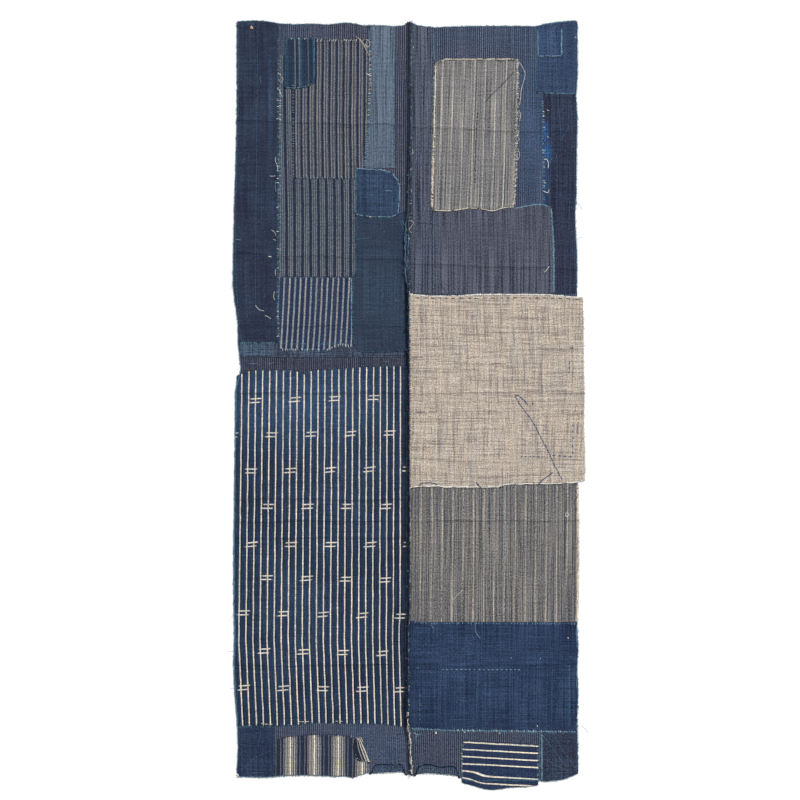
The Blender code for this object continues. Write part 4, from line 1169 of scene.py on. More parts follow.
TRIMS = (
    Trim("left_panel", "left", -742, 758, 0.3, 0.36, "teal_thread", 0.05),
    Trim("left_panel", "left", -742, 758, -0.5, 0.20, "pale_blue_thread", 0.25),
    Trim("left_panel", "top", -342, -6, 0.3, 0.45, "teal_thread", 0.08),
    Trim("left_panel", "bottom", -342, -84, 0.3, 0.30, "teal_thread", 0.10),
    Trim("right_panel", "right", -740, -660, 0.3, 0.34, "teal_thread", 0.08),
    Trim("right_panel", "right", -650, -436, 0.0, 0.34, "teal_thread", 0.06),
    Trim("right_panel", "right", 222, 754, 0.3, 0.36, "teal_thread", 0.05),
    Trim("right_panel", "top", 4, 334, 0.3, 0.45, "teal_thread", 0.08),
    Trim("right_panel", "bottom", 106, 334, 0.3, 0.32, "teal_thread", 0.10),
    Trim("wide_striped_patch", "right", -432, -168, 0.3, 1.20, "cream_thread", 0.12),
    Trim("wide_striped_patch", "right", -432, -168, 2.6, 0.65, "linen_thread", 0.20),
    Trim("wide_striped_patch", "right", -648, -440, 0.8, 0.30, "pale_blue_thread", 0.30),
    Trim("left_panel", "bottom", -74, -12, 0.8, 0.40, "blue_thread", 0.20),
    # Painted shadow lines along the turned hems' raw edges, drawn as thick ink-dark threads
    Trim("left_panel", "bottom", -80, -6, -1.4, 1.25, "ink_thread", 0.02),
    Trim("right_panel", "bottom", 14, 98, 0.8, 0.40, "blue_thread", 0.20),
    Trim("right_panel", "bottom", 6, 104, -1.4, 1.25, "ink_thread", 0.02),
    Trim("kasuri_patch", "left", -638, 62, 0.2, 0.32, "teal_thread", 0.08),
    Trim("kasuri_patch", "top", -344, -10, -0.8, 0.40, "dark_thread", 0.20),
    Trim("linen_patch", "top", 4, 348, 0.2, 1.05, "white_thread", 0.10),
    Trim("linen_patch", "bottom", 4, 348, 0.2, 1.00, "white_thread", 0.12),
    Trim("linen_patch", "right", -160, 216, 0.3, 0.45, "cream_thread", 0.30),
    Trim("linen_patch", "bottom", 4, 330, -1.5, 0.50, "dark_thread", 0.08),
    Trim("grey_striped_patch", "left", 396, 684, 0.8, 1.35, "cream_thread", 0.10),
    Trim("grey_striped_patch", "left", 396, 684, -0.9, 0.45, "dark_thread", 0.25),
    Trim("grey_striped_patch", "top", 56, 214, 0.4, 1.05, "cream_thread", 0.10),
    Trim("grey_striped_patch", "top", 56, 214, 3.4, 0.60, "dark_thread", 0.45),
    Trim("grey_striped_patch", "right", 396, 686, -0.8, 0.40, "dark_thread", 0.10),
    Trim("grey_striped_patch", "bottom", 56, 212, 0.4, 0.95, "cream_thread", 0.15),
    Trim("grey_striped_patch", "right", 396, 686, 0.2, 0.70, "cream_thread", 0.45),
    Trim("small_lined_patch", "left", 636, 732, 0.4, 0.50, "worn_blue_thread", 0.10),
    Trim("small_lined_patch", "right", 648, 732, 0.4, 0.55, "teal_thread", 0.10),
    Trim("small_lined_patch", "bottom", -246, -192, 0.4, 0.32, "teal_thread", 0.12),
    Trim("small_lined_patch", "bottom", -246, -192, -0.9, 0.60, "dark_thread", 0.02),
    Trim("small_lined_patch", "left", 636, 732, -0.9, 0.34, "dark_thread", 0.10),
    Trim("upper_striped_patch", "top", -190, -80, -0.8, 0.34, "dark_thread", 0.12),
    Trim("upper_striped_patch", "right", 460, 726, -0.8, 0.40, "dark_thread", 0.12),
    Trim("upper_striped_patch", "left", 456, 640, -0.8, 0.40, "dark_thread", 0.15),
    Trim("upper_striped_patch", "bottom", -230, -108, -0.7, 0.34, "dark_thread", 0.15),
    Trim("lower_striped_patch", "bottom", -256, -118, -0.8, 0.40, "dark_thread", 0.12),
    Trim("lower_striped_patch", "right", 132, 252, 0.3, 0.34, "pale_blue_thread", 0.05),
    Trim("lower_striped_patch", "left", 116, 250, 0.6, 0.50, "worn_blue_thread", 0.15),
    Trim("blue_patch", "top", -106, -24, 0.3, 0.40, "pale_blue_thread", 0.06),
    Trim("blue_patch", "right", 380, 470, 0.3, 0.40, "pale_blue_thread", 0.06),
    Trim("blue_patch", "bottom", -106, -24, 0.3, 0.32, "pale_blue_thread", 0.12),
    Trim("blue_patch", "left", 380, 470, 0.3, 0.28, "teal_thread", 0.12),
    Trim("blue_patch", "bottom", -106, -24, -0.9, 0.40, "dark_thread", 0.10),
    Trim("blue_patch", "right", 380, 470, -0.9, 0.36, "dark_thread", 0.10),
    Trim("teal_patch", "bottom", -104, -8, -0.7, 0.40, "dark_thread", 0.10),
    Trim("pale_strip", "right", 478, 754, 0.3, 0.20, "worn_blue_thread", 0.15),
    Trim("small_corner_patch", "left", 698, 752, 0.3, 0.32, "pale_blue_thread", 0.08),
    Trim("small_corner_patch", "right", 698, 752, 0.3, 0.52, "pale_blue_thread", 0.08),
    Trim("small_corner_patch", "bottom", 258, 304, 0.3, 0.38, "pale_blue_thread", 0.06),
    Trim("top_corner_patch", "left", 626, 752, 0.3, 0.32, "teal_thread", 0.10),
    Trim("top_corner_patch", "bottom", 258, 334, 0.3, 0.32, "pale_blue_thread", 0.20),
    Trim("right_edge_strip", "top", 276, 334, 0.3, 0.32, "pale_blue_thread", 0.20),
    Trim("brown_patch", "right", 226, 394, 0.3, 0.40, "pale_blue_thread", 0.06),
    Trim("brown_patch", "top", 214, 286, 0.3, 0.34, "pale_blue_thread", 0.12),
    Trim("brown_patch", "right", 226, 394, -0.8, 0.34, "dark_thread", 0.15),
    Trim("brown_strip", "right", 404, 750, -0.5, 0.34, "dark_thread", 0.10),
    Trim("indigo_patch", "bottom", 8, 334, 0.2, 0.36, "pale_blue_thread", 0.12),
    Trim("indigo_patch", "bottom", 8, 334, -0.8, 0.30, "dark_thread", 0.15),
    Trim("indigo_patch", "top", 8, 334, -0.5, 0.30, "dark_thread", 0.15),
    Trim("indigo_patch", "top", 8, 334, 0.3, 0.28, "worn_blue_thread", 0.20),
    Trim("right_corner_patch", "left", -748, -658, 0.3, 0.42, "pale_blue_thread", 0.12),
    Trim("right_corner_patch", "left", -748, -658, 2.0, 0.34, "worn_blue_thread", 0.25),
    Trim("cream_lined_patch", "left", -758, -678, -0.6, 0.40, "dark_thread", 0.10),
    Trim("cream_lined_patch", "right", -752, -682, -0.6, 0.40, "dark_thread", 0.10),
    Trim("cream_lined_patch", "top", 108, 256, -0.6, 0.34, "dark_thread", 0.15),
    Trim("bold_striped_patch", "top", -266, -116, -0.5, 0.46, "dark_thread", 0.10),
    Trim("bold_striped_patch", "left", -740, -670, -0.5, 0.42, "dark_thread", 0.10),
    Trim("left_corner_patch", "right", -740, -646, 0.4, 0.30, "teal_thread", 0.30),
    Trim("left_edge_strip", "right", 128, 756, 0.3, 0.26, "teal_thread", 0.50),
    Trim("left_edge_strip", "bottom", -340, -266, 0.3, 0.30, "teal_thread", 0.25),
    Trim("narrow_band", "top", -336, -122, 0.3, 0.26, "teal_thread", 0.30),
)

# Running stitches and seams over open cloth: route in millimetres, stitch, gap, thread radius, colour
Running = namedtuple("Running", "points stitch gap radius colour")

RUNS = (
    Running(((-302, 757), (-306, 420), (-307, 200)), 5.0, 2.0, 0.34, "worn_blue_thread"),
    Running(((-341, 752), (-341, 560), (-347, 420), (-346, 240), (-337, 132)), 4.6, 2.2, 0.26, "teal_thread"),
    Running(((-187, 725), (-120, 724), (-88, 722)), 4.0, 3.0, 0.28, "dark_thread"),
    Running(((-84, 716), (-82, 640), (-88, 560), (-96, 480)), 4.0, 2.6, 0.34, "dark_thread"),
    Running(((-318, 83), (-304, 83)), 4.0, 2.0, 0.30, "pale_blue_thread"),
    Running(((-280, 83), (-272, 84)), 4.0, 2.0, 0.28, "pale_blue_thread"),
    Running(((-49, 87), (-41, 87)), 4.0, 2.0, 0.28, "pale_blue_thread"),
    Running(((-296, -637), (-273, -638)), 6.0, 2.4, 0.55, "cream_thread"),
    Running(((-221, -633), (-199, -633)), 6.0, 2.4, 0.55, "cream_thread"),
    Running(((-147, -632), (-133, -632)), 6.0, 2.4, 0.55, "cream_thread"),
    Running(((-296, -652), (-302, -682)), 5.0, 2.0, 0.36, "worn_blue_thread"),
    Running(((-328, -724), (-308, -704), (-274, -690)), 5.0, 2.0, 0.36, "worn_blue_thread"),
    Running(((3, 364), (22, 363), (46, 362)), 3.4, 1.8, 0.34, "dark_thread"),
    Running(((210, 666), (190, 644), (170, 625), (152, 606)), 5.0, 1.2, 0.62, "dark_thread"),
    Running(((137, 584), (133, 518), (132, 444)), 4.4, 3.4, 0.85, "dark_thread"),
    Running(((130, 436), (141, 436)), 9.0, 2.0, 0.30, "dark_thread"),
    Running(((211, 640), (214, 540), (209, 410)), 3.8, 3.0, 0.60, "dark_thread"),
    Running(((14, 214), (120, 213), (240, 215), (346, 211)), 7.0, 8.0, 0.60, "dark_thread"),
    Running(((24, -156), (160, -156), (302, -155)), 12.0, 2.0, 0.20, "dark_thread"),
    Running(((213, 18), (223, -2), (244, -28), (258, -53), (269, -77), (280, -94), (288, -116), (306, -149)),
            9.0, 1.8, 0.80, "blue_thread"),
    Running(((213, 20), (222, 18), (238, 0)), 8.0, 1.2, 0.90, "blue_thread"),
    Running(((224, -103), (268, -103)), 3.0, 5.0, 0.80, "blue_thread"),
    Running(((286, -101), (328, -103)), 6.0, 5.0, 0.80, "blue_thread"),
    Running(((320, 86), (320, 64)), 5.0, 4.0, 0.90, "blue_thread"),
    Running(((321, 114), (331, 114)), 9.0, 2.0, 0.90, "blue_thread"),
    Running(((328, -40), (327, -77), (328, -102)), 3.0, 10.0, 0.95, "blue_thread"),
    Running(((164, 82), (178, 83), (192, 82)), 30.0, 2.0, 0.60, "dark_thread"),
    Running(((14, -14), (54, -14)), 16.0, 6.0, 0.45, "dark_thread"),
    Running(((6, 95), (28, 95)), 12.0, 4.0, 0.50, "worn_blue_thread"),
    Running(((319, -340), (336, -334)), 16.0, 2.0, 0.60, "dark_thread"),
    Running(((66, -529), (224, -529)), 4.0, 5.0, 0.50, "pale_blue_thread"),
    Running(((320, -520), (320, -640)), 6.0, 1.5, 0.40, "teal_thread"),
    Running(((192, -166), (191, -215), (193, -250), (192, -310)), 3.0, 3.4, 0.60, "pale_blue_thread"),
    Running(((108, -370), (96, -380), (86, -394)), 40.0, 1.0, 0.36, "cream_thread"),
    Running(((22, -578), (22, -634)), 5.0, 4.4, 0.28, "pale_blue_thread"),
    Running(((321, -520), (321, -556)), 6.0, 1.6, 0.26, "worn_blue_thread"),
    Running(((294, 692), (297, 626), (303, 540)), 7.0, 1.4, 0.42, "worn_blue_thread"),
    Running(((303, 528), (320, 558)), 8.0, 1.0, 0.42, "worn_blue_thread"),
    Running(((330, 744), (331, 600), (330, 420), (330, 232)), 4.6, 2.4, 0.26, "worn_blue_thread"),
    Running(((268, -660), (304, -711), (316, -722)), 7.0, 1.4, 0.46, "worn_blue_thread"),
    Running(((287, -656), (311, -694), (333, -726)), 7.0, 1.4, 0.42, "worn_blue_thread"),
    Running(((273, -708), (300, -724), (326, -735)), 7.0, 1.4, 0.42, "worn_blue_thread"),
    Running(((325, -180), (328, -300), (325, -420)), 4.0, 3.0, 0.24, "dark_thread"),
    Running(((50, 744), (50, 720), (51, 690)), 12.0, 1.0, 0.34, "pale_blue_thread"),
    Running(((-78, -738), (-46, -737), (-12, -735)), 4.0, 2.5, 0.55, "teal_thread"),
    Running(((-74, -733), (-46, -732), (-14, -731)), 3.0, 3.5, 0.50, "worn_blue_thread"),
    Running(((-76, -729), (-50, -727), (-16, -727)), 2.0, 6.5, 0.50, "teal_thread"),
    Running(((14, -739), (30, -738), (62, -739), (98, -743)), 4.0, 2.5, 0.55, "teal_thread"),
    Running(((16, -734), (34, -732), (62, -733), (96, -738)), 3.0, 3.5, 0.50, "worn_blue_thread"),
    Running(((16, -730), (34, -728), (62, -729), (94, -734)), 2.0, 6.5, 0.50, "teal_thread"),
    Running(((46, 420), (46, 330), (47, 240)), 5.0, 2.0, 0.30, "dark_thread"),
)

# Threads that lie loose on top: route in millimetres, radius, colour
Loose = namedtuple("Loose", "points radius colour")

LOOSE = (
    Loose(((-297, 658), (-298, 650), (-296, 644)), 0.42, "teal_thread"),
    Loose(((-346, 331), (-336, 330)), 0.34, "pale_blue_thread"),
    Loose(((-281, 297), (-275, 296)), 0.80, "white_thread"),
    Loose(((-307, 199), (-300, 190), (-290, 188)), 0.36, "white_thread"),
    Loose(((-288, 179), (-281, 176), (-276, 172)), 0.36, "white_thread"),
    Loose(((-266, 496), (-268, 488), (-264, 482), (-262, 470)), 0.34, "white_thread"),
    Loose(((-279, 458), (-273, 457), (-267, 458)), 0.34, "white_thread"),
    Loose(((-266, 449), (-268, 440), (-266, 426)), 0.30, "pale_blue_thread"),
    Loose(((-275, 350), (-268, 345), (-266, 338)), 0.34, "white_thread"),
    Loose(((-271, 331), (-266, 329)), 0.42, "white_thread"),
    Loose(((-266, 271), (-268, 266), (-266, 259)), 0.34, "white_thread"),
    Loose(((-269, 227), (-271, 218), (-269, 210)), 0.34, "white_thread"),
    Loose(((-256, 657), (-251, 651), (-255, 645)), 0.36, "white_thread"),
    Loose(((-264, 634), (-258, 628), (-255, 618)), 0.36, "white_thread"),
    Loose(((-262, 622), (-256, 616), (-250, 618)), 0.30, "pale_blue_thread"),
    Loose(((-102, 735), (-92, 722), (-84, 706), (-79, 698)), 0.40, "cream_thread"),
    Loose(((-106, 737), (-94, 728), (-86, 714)), 0.32, "cream_thread"),
    Loose(((-87, 731), (-79, 728), (-78, 718), (-84, 714), (-88, 722)), 0.38, "white_thread"),
    Loose(((-86, 662), (-80, 660), (-75, 657)), 0.56, "white_thread"),
    Loose(((-78, 654), (-76, 646), (-76, 636)), 0.36, "cream_thread"),
    Loose(((-80, 377), (-76, 375)), 0.55, "white_thread"),
    Loose(((-48, 428), (-40, 429), (-34, 427)), 0.26, "pale_blue_thread"),
    Loose(((-106, 331), (-90, 333), (-74, 334)), 0.26, "teal_thread"),
    Loose(((8, 716), (9, 713)), 0.55, "white_thread"),
    Loose(((6, 511), (8, 507), (7, 502)), 0.45, "white_thread"),
    Loose(((4, 431), (5, 425)), 0.45, "white_thread"),
    Loose(((-3, 368), (5, 369), (10, 364), (4, 357), (-1, 349), (6, 344)), 0.42, "cream_thread"),
    Loose(((1, 761), (3, 766), (5, 768)), 0.45, "dark_thread"),
    Loose(((4, 760), (7, 765), (6, 769)), 0.40, "blue_thread"),
    Loose(((-2, 760), (-4, 765), (-2, 768)), 0.40, "dark_thread"),
    Loose(((-18, 368), (-14, 356), (-4, 340), (-7, 310), (-9, 284), (-7, 252), (-4, 242)), 0.80, "worn_blue_thread"),
    Loose(((-14, 370), (-9, 358), (0, 342), (-2, 318), (-5, 290), (-3, 262)), 0.60, "teal_thread"),
    Loose(((-22, 362), (-16, 344), (-11, 326), (-13, 300), (-10, 276)), 0.60, "blue_thread"),
    Loose(((220, 686), (228, 674), (233, 662), (229, 646), (224, 630), (223, 612), (221, 600)), 0.42, "white_thread"),
    Loose(((219, 590), (224, 580), (221, 568)), 0.38, "white_thread"),
    Loose(((220, 548), (216, 538), (221, 530)), 0.34, "white_thread"),
    Loose(((218, 512), (222, 500), (218, 490)), 0.34, "white_thread"),
    Loose(((270, 265), (275, 270), (280, 277)), 0.60, "white_thread"),
    Loose(((68, 248), (64, 238), (75, 226)), 0.34, "dark_thread"),
    Loose(((124, 176), (138, 180)), 0.34, "dark_thread"),
    Loose(((18, -164), (24, -156), (48, -155), (57, -160)), 0.70, "blue_thread"),
    Loose(((134, -154), (139, -162), (147, -166)), 0.80, "blue_thread"),
    Loose(((260, -161), (262, -153), (275, -144), (287, -135)), 0.85, "blue_thread"),
    Loose(((246, 4), (249, 1)), 0.90, "blue_thread"),
    Loose(((136, -158), (140, -158)), 0.55, "dark_thread"),
    Loose(((142, -165), (152, -162), (160, -165)), 0.34, "dark_thread"),
    Loose(((314, -215), (320, -218), (317, -224), (312, -221), (314, -216)), 0.50, "white_thread"),
    Loose(((132, -436), (133, -456), (142, -466)), 0.34, "pale_blue_thread"),
    Loose(((262, -505), (263, -508)), 0.48, "pale_blue_thread"),
    Loose(((204, -504), (205, -507)), 0.45, "pale_blue_thread"),
    Loose(((14, -525), (20, -526)), 0.36, "pale_blue_thread"),
    Loose(((317, -464), (319, -467)), 0.50, "white_thread"),
    Loose(((256, -640), (257, -643)), 0.60, "white_thread"),
    Loose(((44, -440), (50, -446)), 0.40, "pale_blue_thread"),
    Loose(((53, -653), (55, -657), (53, -656)), 1.10, "white_thread"),
    Loose(((110, -653), (112, -655)), 0.70, "white_thread"),
    Loose(((180, -655), (182, -657)), 0.70, "white_thread"),
    Loose(((9, -655), (16, -660), (24, -658)), 0.40, "pale_blue_thread"),
    Loose(((16, -660), (13, -668), (15, -672)), 0.36, "pale_blue_thread"),
    Loose(((303, 708), (305, 706)), 0.50, "pale_blue_thread"),
    Loose(((332, 736), (334, 734)), 0.50, "white_thread"),
    Loose(((267, 588), (270, 585)), 0.55, "white_thread"),
    Loose(((269, 580), (270, 576)), 0.50, "white_thread"),
    Loose(((276, 590), (280, 588)), 0.50, "white_thread"),
    Loose(((276, 538), (279, 534)), 0.50, "white_thread"),
    Loose(((266, 510), (271, 508)), 0.50, "white_thread"),
    Loose(((270, 491), (275, 492), (279, 484), (278, 474)), 0.60, "white_thread"),
    Loose(((270, 445), (273, 443)), 0.50, "white_thread"),
    Loose(((268, 428), (278, 423), (280, 431)), 0.60, "white_thread"),
    Loose(((297, -734), (299, -737), (296, -738)), 0.55, "worn_blue_thread"),
    Loose(((-313, 757), (-317, 755), (-313, 753), (-317, 752)), 1.20, "orange_thread"),
    Loose(((-316, 757), (-312, 752)), 1.00, "cream_thread"),
    Loose(((342, -641), (352, -646), (359, -656)), 0.24, "teal_thread"),
    Loose(((-344, -416), (-352, -420), (-360, -432)), 0.22, "teal_thread"),
    Loose(((-346, -488), (-354, -494), (-362, -492)), 0.22, "teal_thread"),
    Loose(((-346, -562), (-352, -568), (-358, -566)), 0.22, "teal_thread"),
    Loose(((-350, 242), (-355, 238), (-358, 230)), 0.22, "teal_thread"),
    Loose(((-345, -737), (-341, -740), (-343, -744)), 1.20, "white_thread"),
    Loose(((-105, -665), (-102, -669), (-99, -665)), 0.70, "cream_thread"),
    Loose(((-97, -664), (-94, -669), (-92, -674)), 0.60, "cream_thread"),
    Loose(((-84, -708), (-80, -714), (-77, -711)), 0.70, "cream_thread"),
    Loose(((-63, 8), (-60, 7)), 0.30, "white_thread"),
    Loose(((292, 754), (295, 762), (291, 766)), 0.26, "teal_thread"),
    Loose(((328, 764), (333, 770), (337, 768)), 0.26, "teal_thread"),
    Loose(((338, 402), (344, 398), (347, 390)), 0.24, "teal_thread"),
    Loose(((338, 330), (343, 336), (348, 335)), 0.24, "teal_thread"),
)

# Frayed edges: spacing and length of the fibres in millimetres, and their colours
Fray = namedtuple("Fray", "sheet edge start end spacing length colours")

FRAYS = (
    Fray("left_panel", "left", -738, 758, 1.3, 2.2, "teal_thread blue_thread"),
    Fray("left_panel", "top", -342, -6, 1.1, 2.0, "teal_thread blue_thread dark_thread"),
    Fray("left_panel", "bottom", -342, -84, 0.9, 2.6, "teal_thread blue_thread"),
    Fray("left_panel", "bottom", -76, -10, 0.7, 3.0, "teal_thread worn_blue_thread dark_thread blue_thread"),
    Fray("right_panel", "bottom", 12, 100, 0.7, 3.0, "teal_thread worn_blue_thread dark_thread blue_thread"),
    Fray("right_panel", "right", -738, -170, 1.3, 2.2, "teal_thread blue_thread"),
    Fray("right_panel", "right", 224, 752, 1.3, 2.2, "teal_thread blue_thread"),
    Fray("right_panel", "top", 4, 334, 1.1, 2.0, "teal_thread blue_thread dark_thread"),
    Fray("right_panel", "bottom", 108, 334, 1.2, 2.4, "teal_thread blue_thread"),
    Fray("kasuri_patch", "left", -638, 60, 1.6, 2.0, "teal_thread blue_thread"),
    Fray("wide_striped_patch", "right", -430, -168, 0.7, 3.0, "cream_thread linen_thread white_thread"),
    Fray("linen_patch", "right", -160, 216, 1.6, 2.2, "linen_thread cream_thread"),
    Fray("linen_patch", "bottom", 250, 348, 1.8, 2.0, "linen_thread"),
    Fray("linen_patch", "left", -160, 216, 1.6, 2.4, "linen_thread cream_thread"),
    Fray("cream_lined_patch", "bottom", 108, 256, 1.3, 2.0, "teal_thread blue_thread"),
    Fray("cream_lined_patch", "left", -756, -680, 1.6, 2.0, "cream_thread teal_thread"),
    Fray("left_edge_strip", "right", 128, 756, 2.6, 2.6, "cream_thread worn_blue_thread blue_thread teal_thread"),
    Fray("long_striped_patch", "left", 262, 690, 1.6, 3.0, "pale_blue_thread blue_thread teal_thread"),
    Fray("upper_striped_patch", "right", 470, 726, 2.0, 2.4, "pale_blue_thread blue_thread"),
    Fray("right_edge_strip", "left", 400, 618, 1.0, 3.4, "bright_thread teal_thread worn_blue_thread"),
    Fray("right_edge_strip", "top", 272, 334, 2.0, 2.2, "teal_thread blue_thread"),
    Fray("pale_strip", "right", 478, 754, 1.4, 3.0, "worn_blue_thread blue_thread"),
    Fray("grey_striped_patch", "left", 396, 686, 1.5, 2.0, "cream_thread"),
    Fray("grey_striped_patch", "right", 396, 686, 2.4, 2.4, "cream_thread white_thread"),
    Fray("lower_striped_patch", "bottom", -256, -118, 1.8, 2.4, "pale_blue_thread worn_blue_thread"),
    Fray("kasuri_patch", "bottom", -338, -12, 2.2, 2.0, "teal_thread blue_thread"),
    Fray("indigo_patch", "bottom", 8, 334, 2.0, 2.4, "pale_blue_thread worn_blue_thread"),
    Fray("indigo_patch", "top", 8, 334, 2.4, 2.0, "worn_blue_thread blue_thread"),
    Fray("brown_patch", "right", 226, 394, 1.8, 2.0, "worn_blue_thread pale_blue_thread"),
    Fray("right_corner_patch", "left", -748, -658, 1.6, 2.2, "pale_blue_thread worn_blue_thread"),
    Fray("bold_striped_patch", "top", -120, -84, 1.6, 2.6, "cream_thread dark_thread"),
)

# Which of the record's material slots each thread colour belongs to
THREAD_SLOTS = {
    "white_thread": "beige_linen", "cream_thread": "beige_linen", "linen_thread": "beige_linen",
    "orange_thread": "beige_linen", "pale_blue_thread": "pale_blue", "teal_thread": "faded_indigo",
    "worn_blue_thread": "faded_indigo", "bright_thread": "faded_indigo", "blue_thread": "dark_indigo",
    "dark_thread": "dark_indigo", "ink_thread": "dark_indigo",
}


def rounded(points):
    """A route with its corners rounded off."""
    for _ in range(2):
        softer = [points[0]]
        for first, second in zip(points, points[1:]):
            softer.append(mix_points(first, second, 0.25))
            softer.append(mix_points(first, second, 0.75))
        points = softer + [points[-1]]
    return points


def mix_points(first, second, share):
    """A point part of the way from one to another."""
    return tuple(one + (other - one) * share for one, other in zip(first, second))


def hem_shift(sheet, edge, along):
    """How much farther up the raw edge of a turned hem lies than the fold."""
    if edge != "bottom" or sheet.name not in HEM_TURNS:
        return 0.0
    start, end = HEM_TURNS[sheet.name]
    share = float(smooth(min(along - start, end - along) / HEM_TAPER))
    width = float(hem_width(along))
    return share * (2.0 * width - math.pi * HEM_RADIUS) - min(2.0 * share, 1.0) * (width - HEM_RADIUS)


def edge_place(sheet, edge, along, inside):
    """Real x and y of a place so far along an edge and so far inside it."""
    spots = {
        "left": (sheet.left + inside, along), "right": (sheet.right - inside, along),
        "bottom": (along, sheet.bottom + inside - 2.0 * inside * (hem_shift(sheet, edge, along) > 2.0)),
        "top": (along, sheet.top - inside),
    }
    x, y = place_on(sheet, *spots[edge])
    if edge == "left" and sheet.in_seam and sheet.side > 0:
        x, y = SEAM_START + 1.5 + inside, along
    return float(seam_move(sheet.side, x, y, 0.0)), float(y) + hem_shift(sheet, edge, along)


# Whip stitches are of several strands, so they are this much thicker than one thread
WHIP_RADIUS = 1.45


class Sewing:
    """Lays threads on the finished cloth and gathers them by colour."""

    def __init__(self, objects):
        self.surface = surface_tree(objects)
        self.chance = random.Random(19)
        self.strands = {colour: [] for colour in THREAD_SLOTS}

    def top(self, x, y):
        """Height of the cloth at a place, or of the floor beside it."""
        hit = self.surface.ray_cast(Vector((x * MM, y * MM, 0.1)), Vector((0.0, 0.0, -1.0)))
        return hit[0].z / MM if hit[0] else 0.0

    def lay(self, route, radius, colour, lift=0.5):
        """Lay a thread along a flat route, resting on what is below it."""
        self.strands[colour].append([(x, y, self.top(x, y) + radius * lift, radius) for x, y in route])

    def whip(self, row):
        """Slanting stitches over an edge."""
        sheet = SHEETS[row.sheet]
        along = row.start + self.chance.uniform(0.0, row.spacing)
        while along < row.end:
            if self.chance.random() > row.skip:
                length = row.length * self.chance.uniform(0.75, 1.25)
                slant = length * self.chance.uniform(0.05, 0.5)
                route = [edge_place(sheet, row.edge, along + slant * share, length * (0.62 - share))
                         for share in (0.0, 0.3, 0.55, 0.8, 1.0)]
                self.lay(route, WHIP_RADIUS * row.radius * self.chance.uniform(0.8, 1.15), row.colour)
            along += row.spacing * self.chance.uniform(0.7, 1.35)

    def trim(self, row):
        """A thread along an edge, broken in places; outside an edge, in the dark colours, a painted shadow line."""
        sheet = SHEETS[row.sheet]
        route = []
        along = float(row.start)
        while along < row.end:
            sway = self.chance.gauss(0.0, 0.18)
            route.append(edge_place(sheet, row.edge, along, row.inside + sway))
            along += 3.0
            if self.chance.random() < row.breaks:
                if len(route) > 1:
                    self.lay(route, row.radius * self.chance.uniform(0.8, 1.1), row.colour)
                route = []
                along += self.chance.uniform(0.5, 6.0)
        if len(route) > 1:
            self.lay(route, row.radius, row.colour)

    def run(self, row):
        """Running stitches along a route."""
        points = np.array(rounded(list(row.points)))
        lengths = np.concatenate([[0.0], np.cumsum(np.hypot(*np.diff(points, axis=0).T))])
        place = 0.0
        while place < lengths[-1]:
            end = min(place + row.stitch * self.chance.uniform(0.75, 1.2), lengths[-1])
            steps = np.linspace(place, end, max(2, round((end - place) / 2.5) + 1))
            sway = self.chance.uniform(-0.35, 0.35)
            route = [(float(np.interp(step, lengths, points[:, 0])) + sway,
                      float(np.interp(step, lengths, points[:, 1])) + sway) for step in steps]
            self.lay(route, row.radius, row.colour, 0.45)
            place = end + row.gap * self.chance.uniform(0.7, 1.4)

    def loose(self, row):
        """A loose thread that lies on top."""
        self.lay(rounded(list(row.points)), row.radius, row.colour, 0.9)

    def fray(self, row):
        """Fine fibres standing out from a raw edge."""
        sheet = SHEETS[row.sheet]
        colours = row.colours.split()
        along = row.start
        while along < row.end:
            length = row.length * self.chance.uniform(0.3, 1.0) ** 1.5 * 1.4
            slant = self.chance.gauss(0.0, 0.55) * length
            start = edge_place(sheet, row.edge, along, self.chance.uniform(0.3, 1.2))
            middle = edge_place(sheet, row.edge, along + slant * 0.3, -length * 0.5)
            end = edge_place(sheet, row.edge, along + slant, -length)
            self.lay((start, middle, end), self.chance.uniform(0.16, 0.34), self.chance.choice(colours), 1.0)
            along += row.spacing * self.chance.uniform(0.4, 1.6)

    def seam_fray(self, settings):
        """Fibres along the raw top of the seam allowance."""
        y = SEAM_END[0]
        while y < SEAM_END[1]:
            side = self.chance.choice((-1, 1, 1))
            z = SEAM_HEIGHT - self.chance.uniform(0.2, 2.0)
            x = float(seam_move(side, side * 0.8, y, z))
            length = self.chance.uniform(0.8, 4.4)
            turn = self.chance.gauss(0.0, 0.9)
            drop = self.chance.uniform(0.1, 0.9)
            way = side if self.chance.random() < 0.75 else -side
            thickness = self.chance.uniform(0.16, 0.34)
            route = [(x + way * length * share * math.cos(turn), y + length * share * math.sin(turn),
                      z - drop * length * share ** 2, thickness) for share in (0.0, 0.5, 1.0)]
            cream = 0.75 if y < -618.0 else 0.03
            palette = ("cream_thread", "white_thread") if self.chance.random() < cream else SEAM_COLOURS
            self.strands[self.chance.choice(palette)].append(route)
            sparse = (1.0 if y < -618.0 else 1.4) + 5.0 * float(smooth(2.0 * ripple(y, 0.0, 12.0, 77)))
            y += self.chance.uniform(0.15, 0.9) * settings.seam_fray_gap / MM * sparse

    def seam_lines(self):
        """The raw edges' outermost threads, lying wavily along the seam allowance."""
        for line in SEAM_THREADS:
            route = []
            y = line.start
            while y < line.end:
                sway = line.sway * float(ripple(y, 0.0, 22.0, line.seed))
                z = line.z + 0.3 * float(ripple(y, 0.0, 15.0, line.seed + 1))
                x = float(seam_move(line.side, line.side * line.out, y, z)) + sway
                route.append((x, y, z, line.radius * (0.8 + 0.3 * self.chance.random())))
                y += 1.6
                if self.chance.random() < line.breaks and len(route) > 2:
                    self.strands[line.colour].append(route)
                    route = []
                    y += self.chance.uniform(0.2, 1.8) * line.gap
            if len(route) > 2:
                self.strands[line.colour].append(route)

    def finish(self):
        """Make one object for each colour of thread."""
        for colour, strands in self.strands.items():
            if strands:
                make_threads(colour, strands)


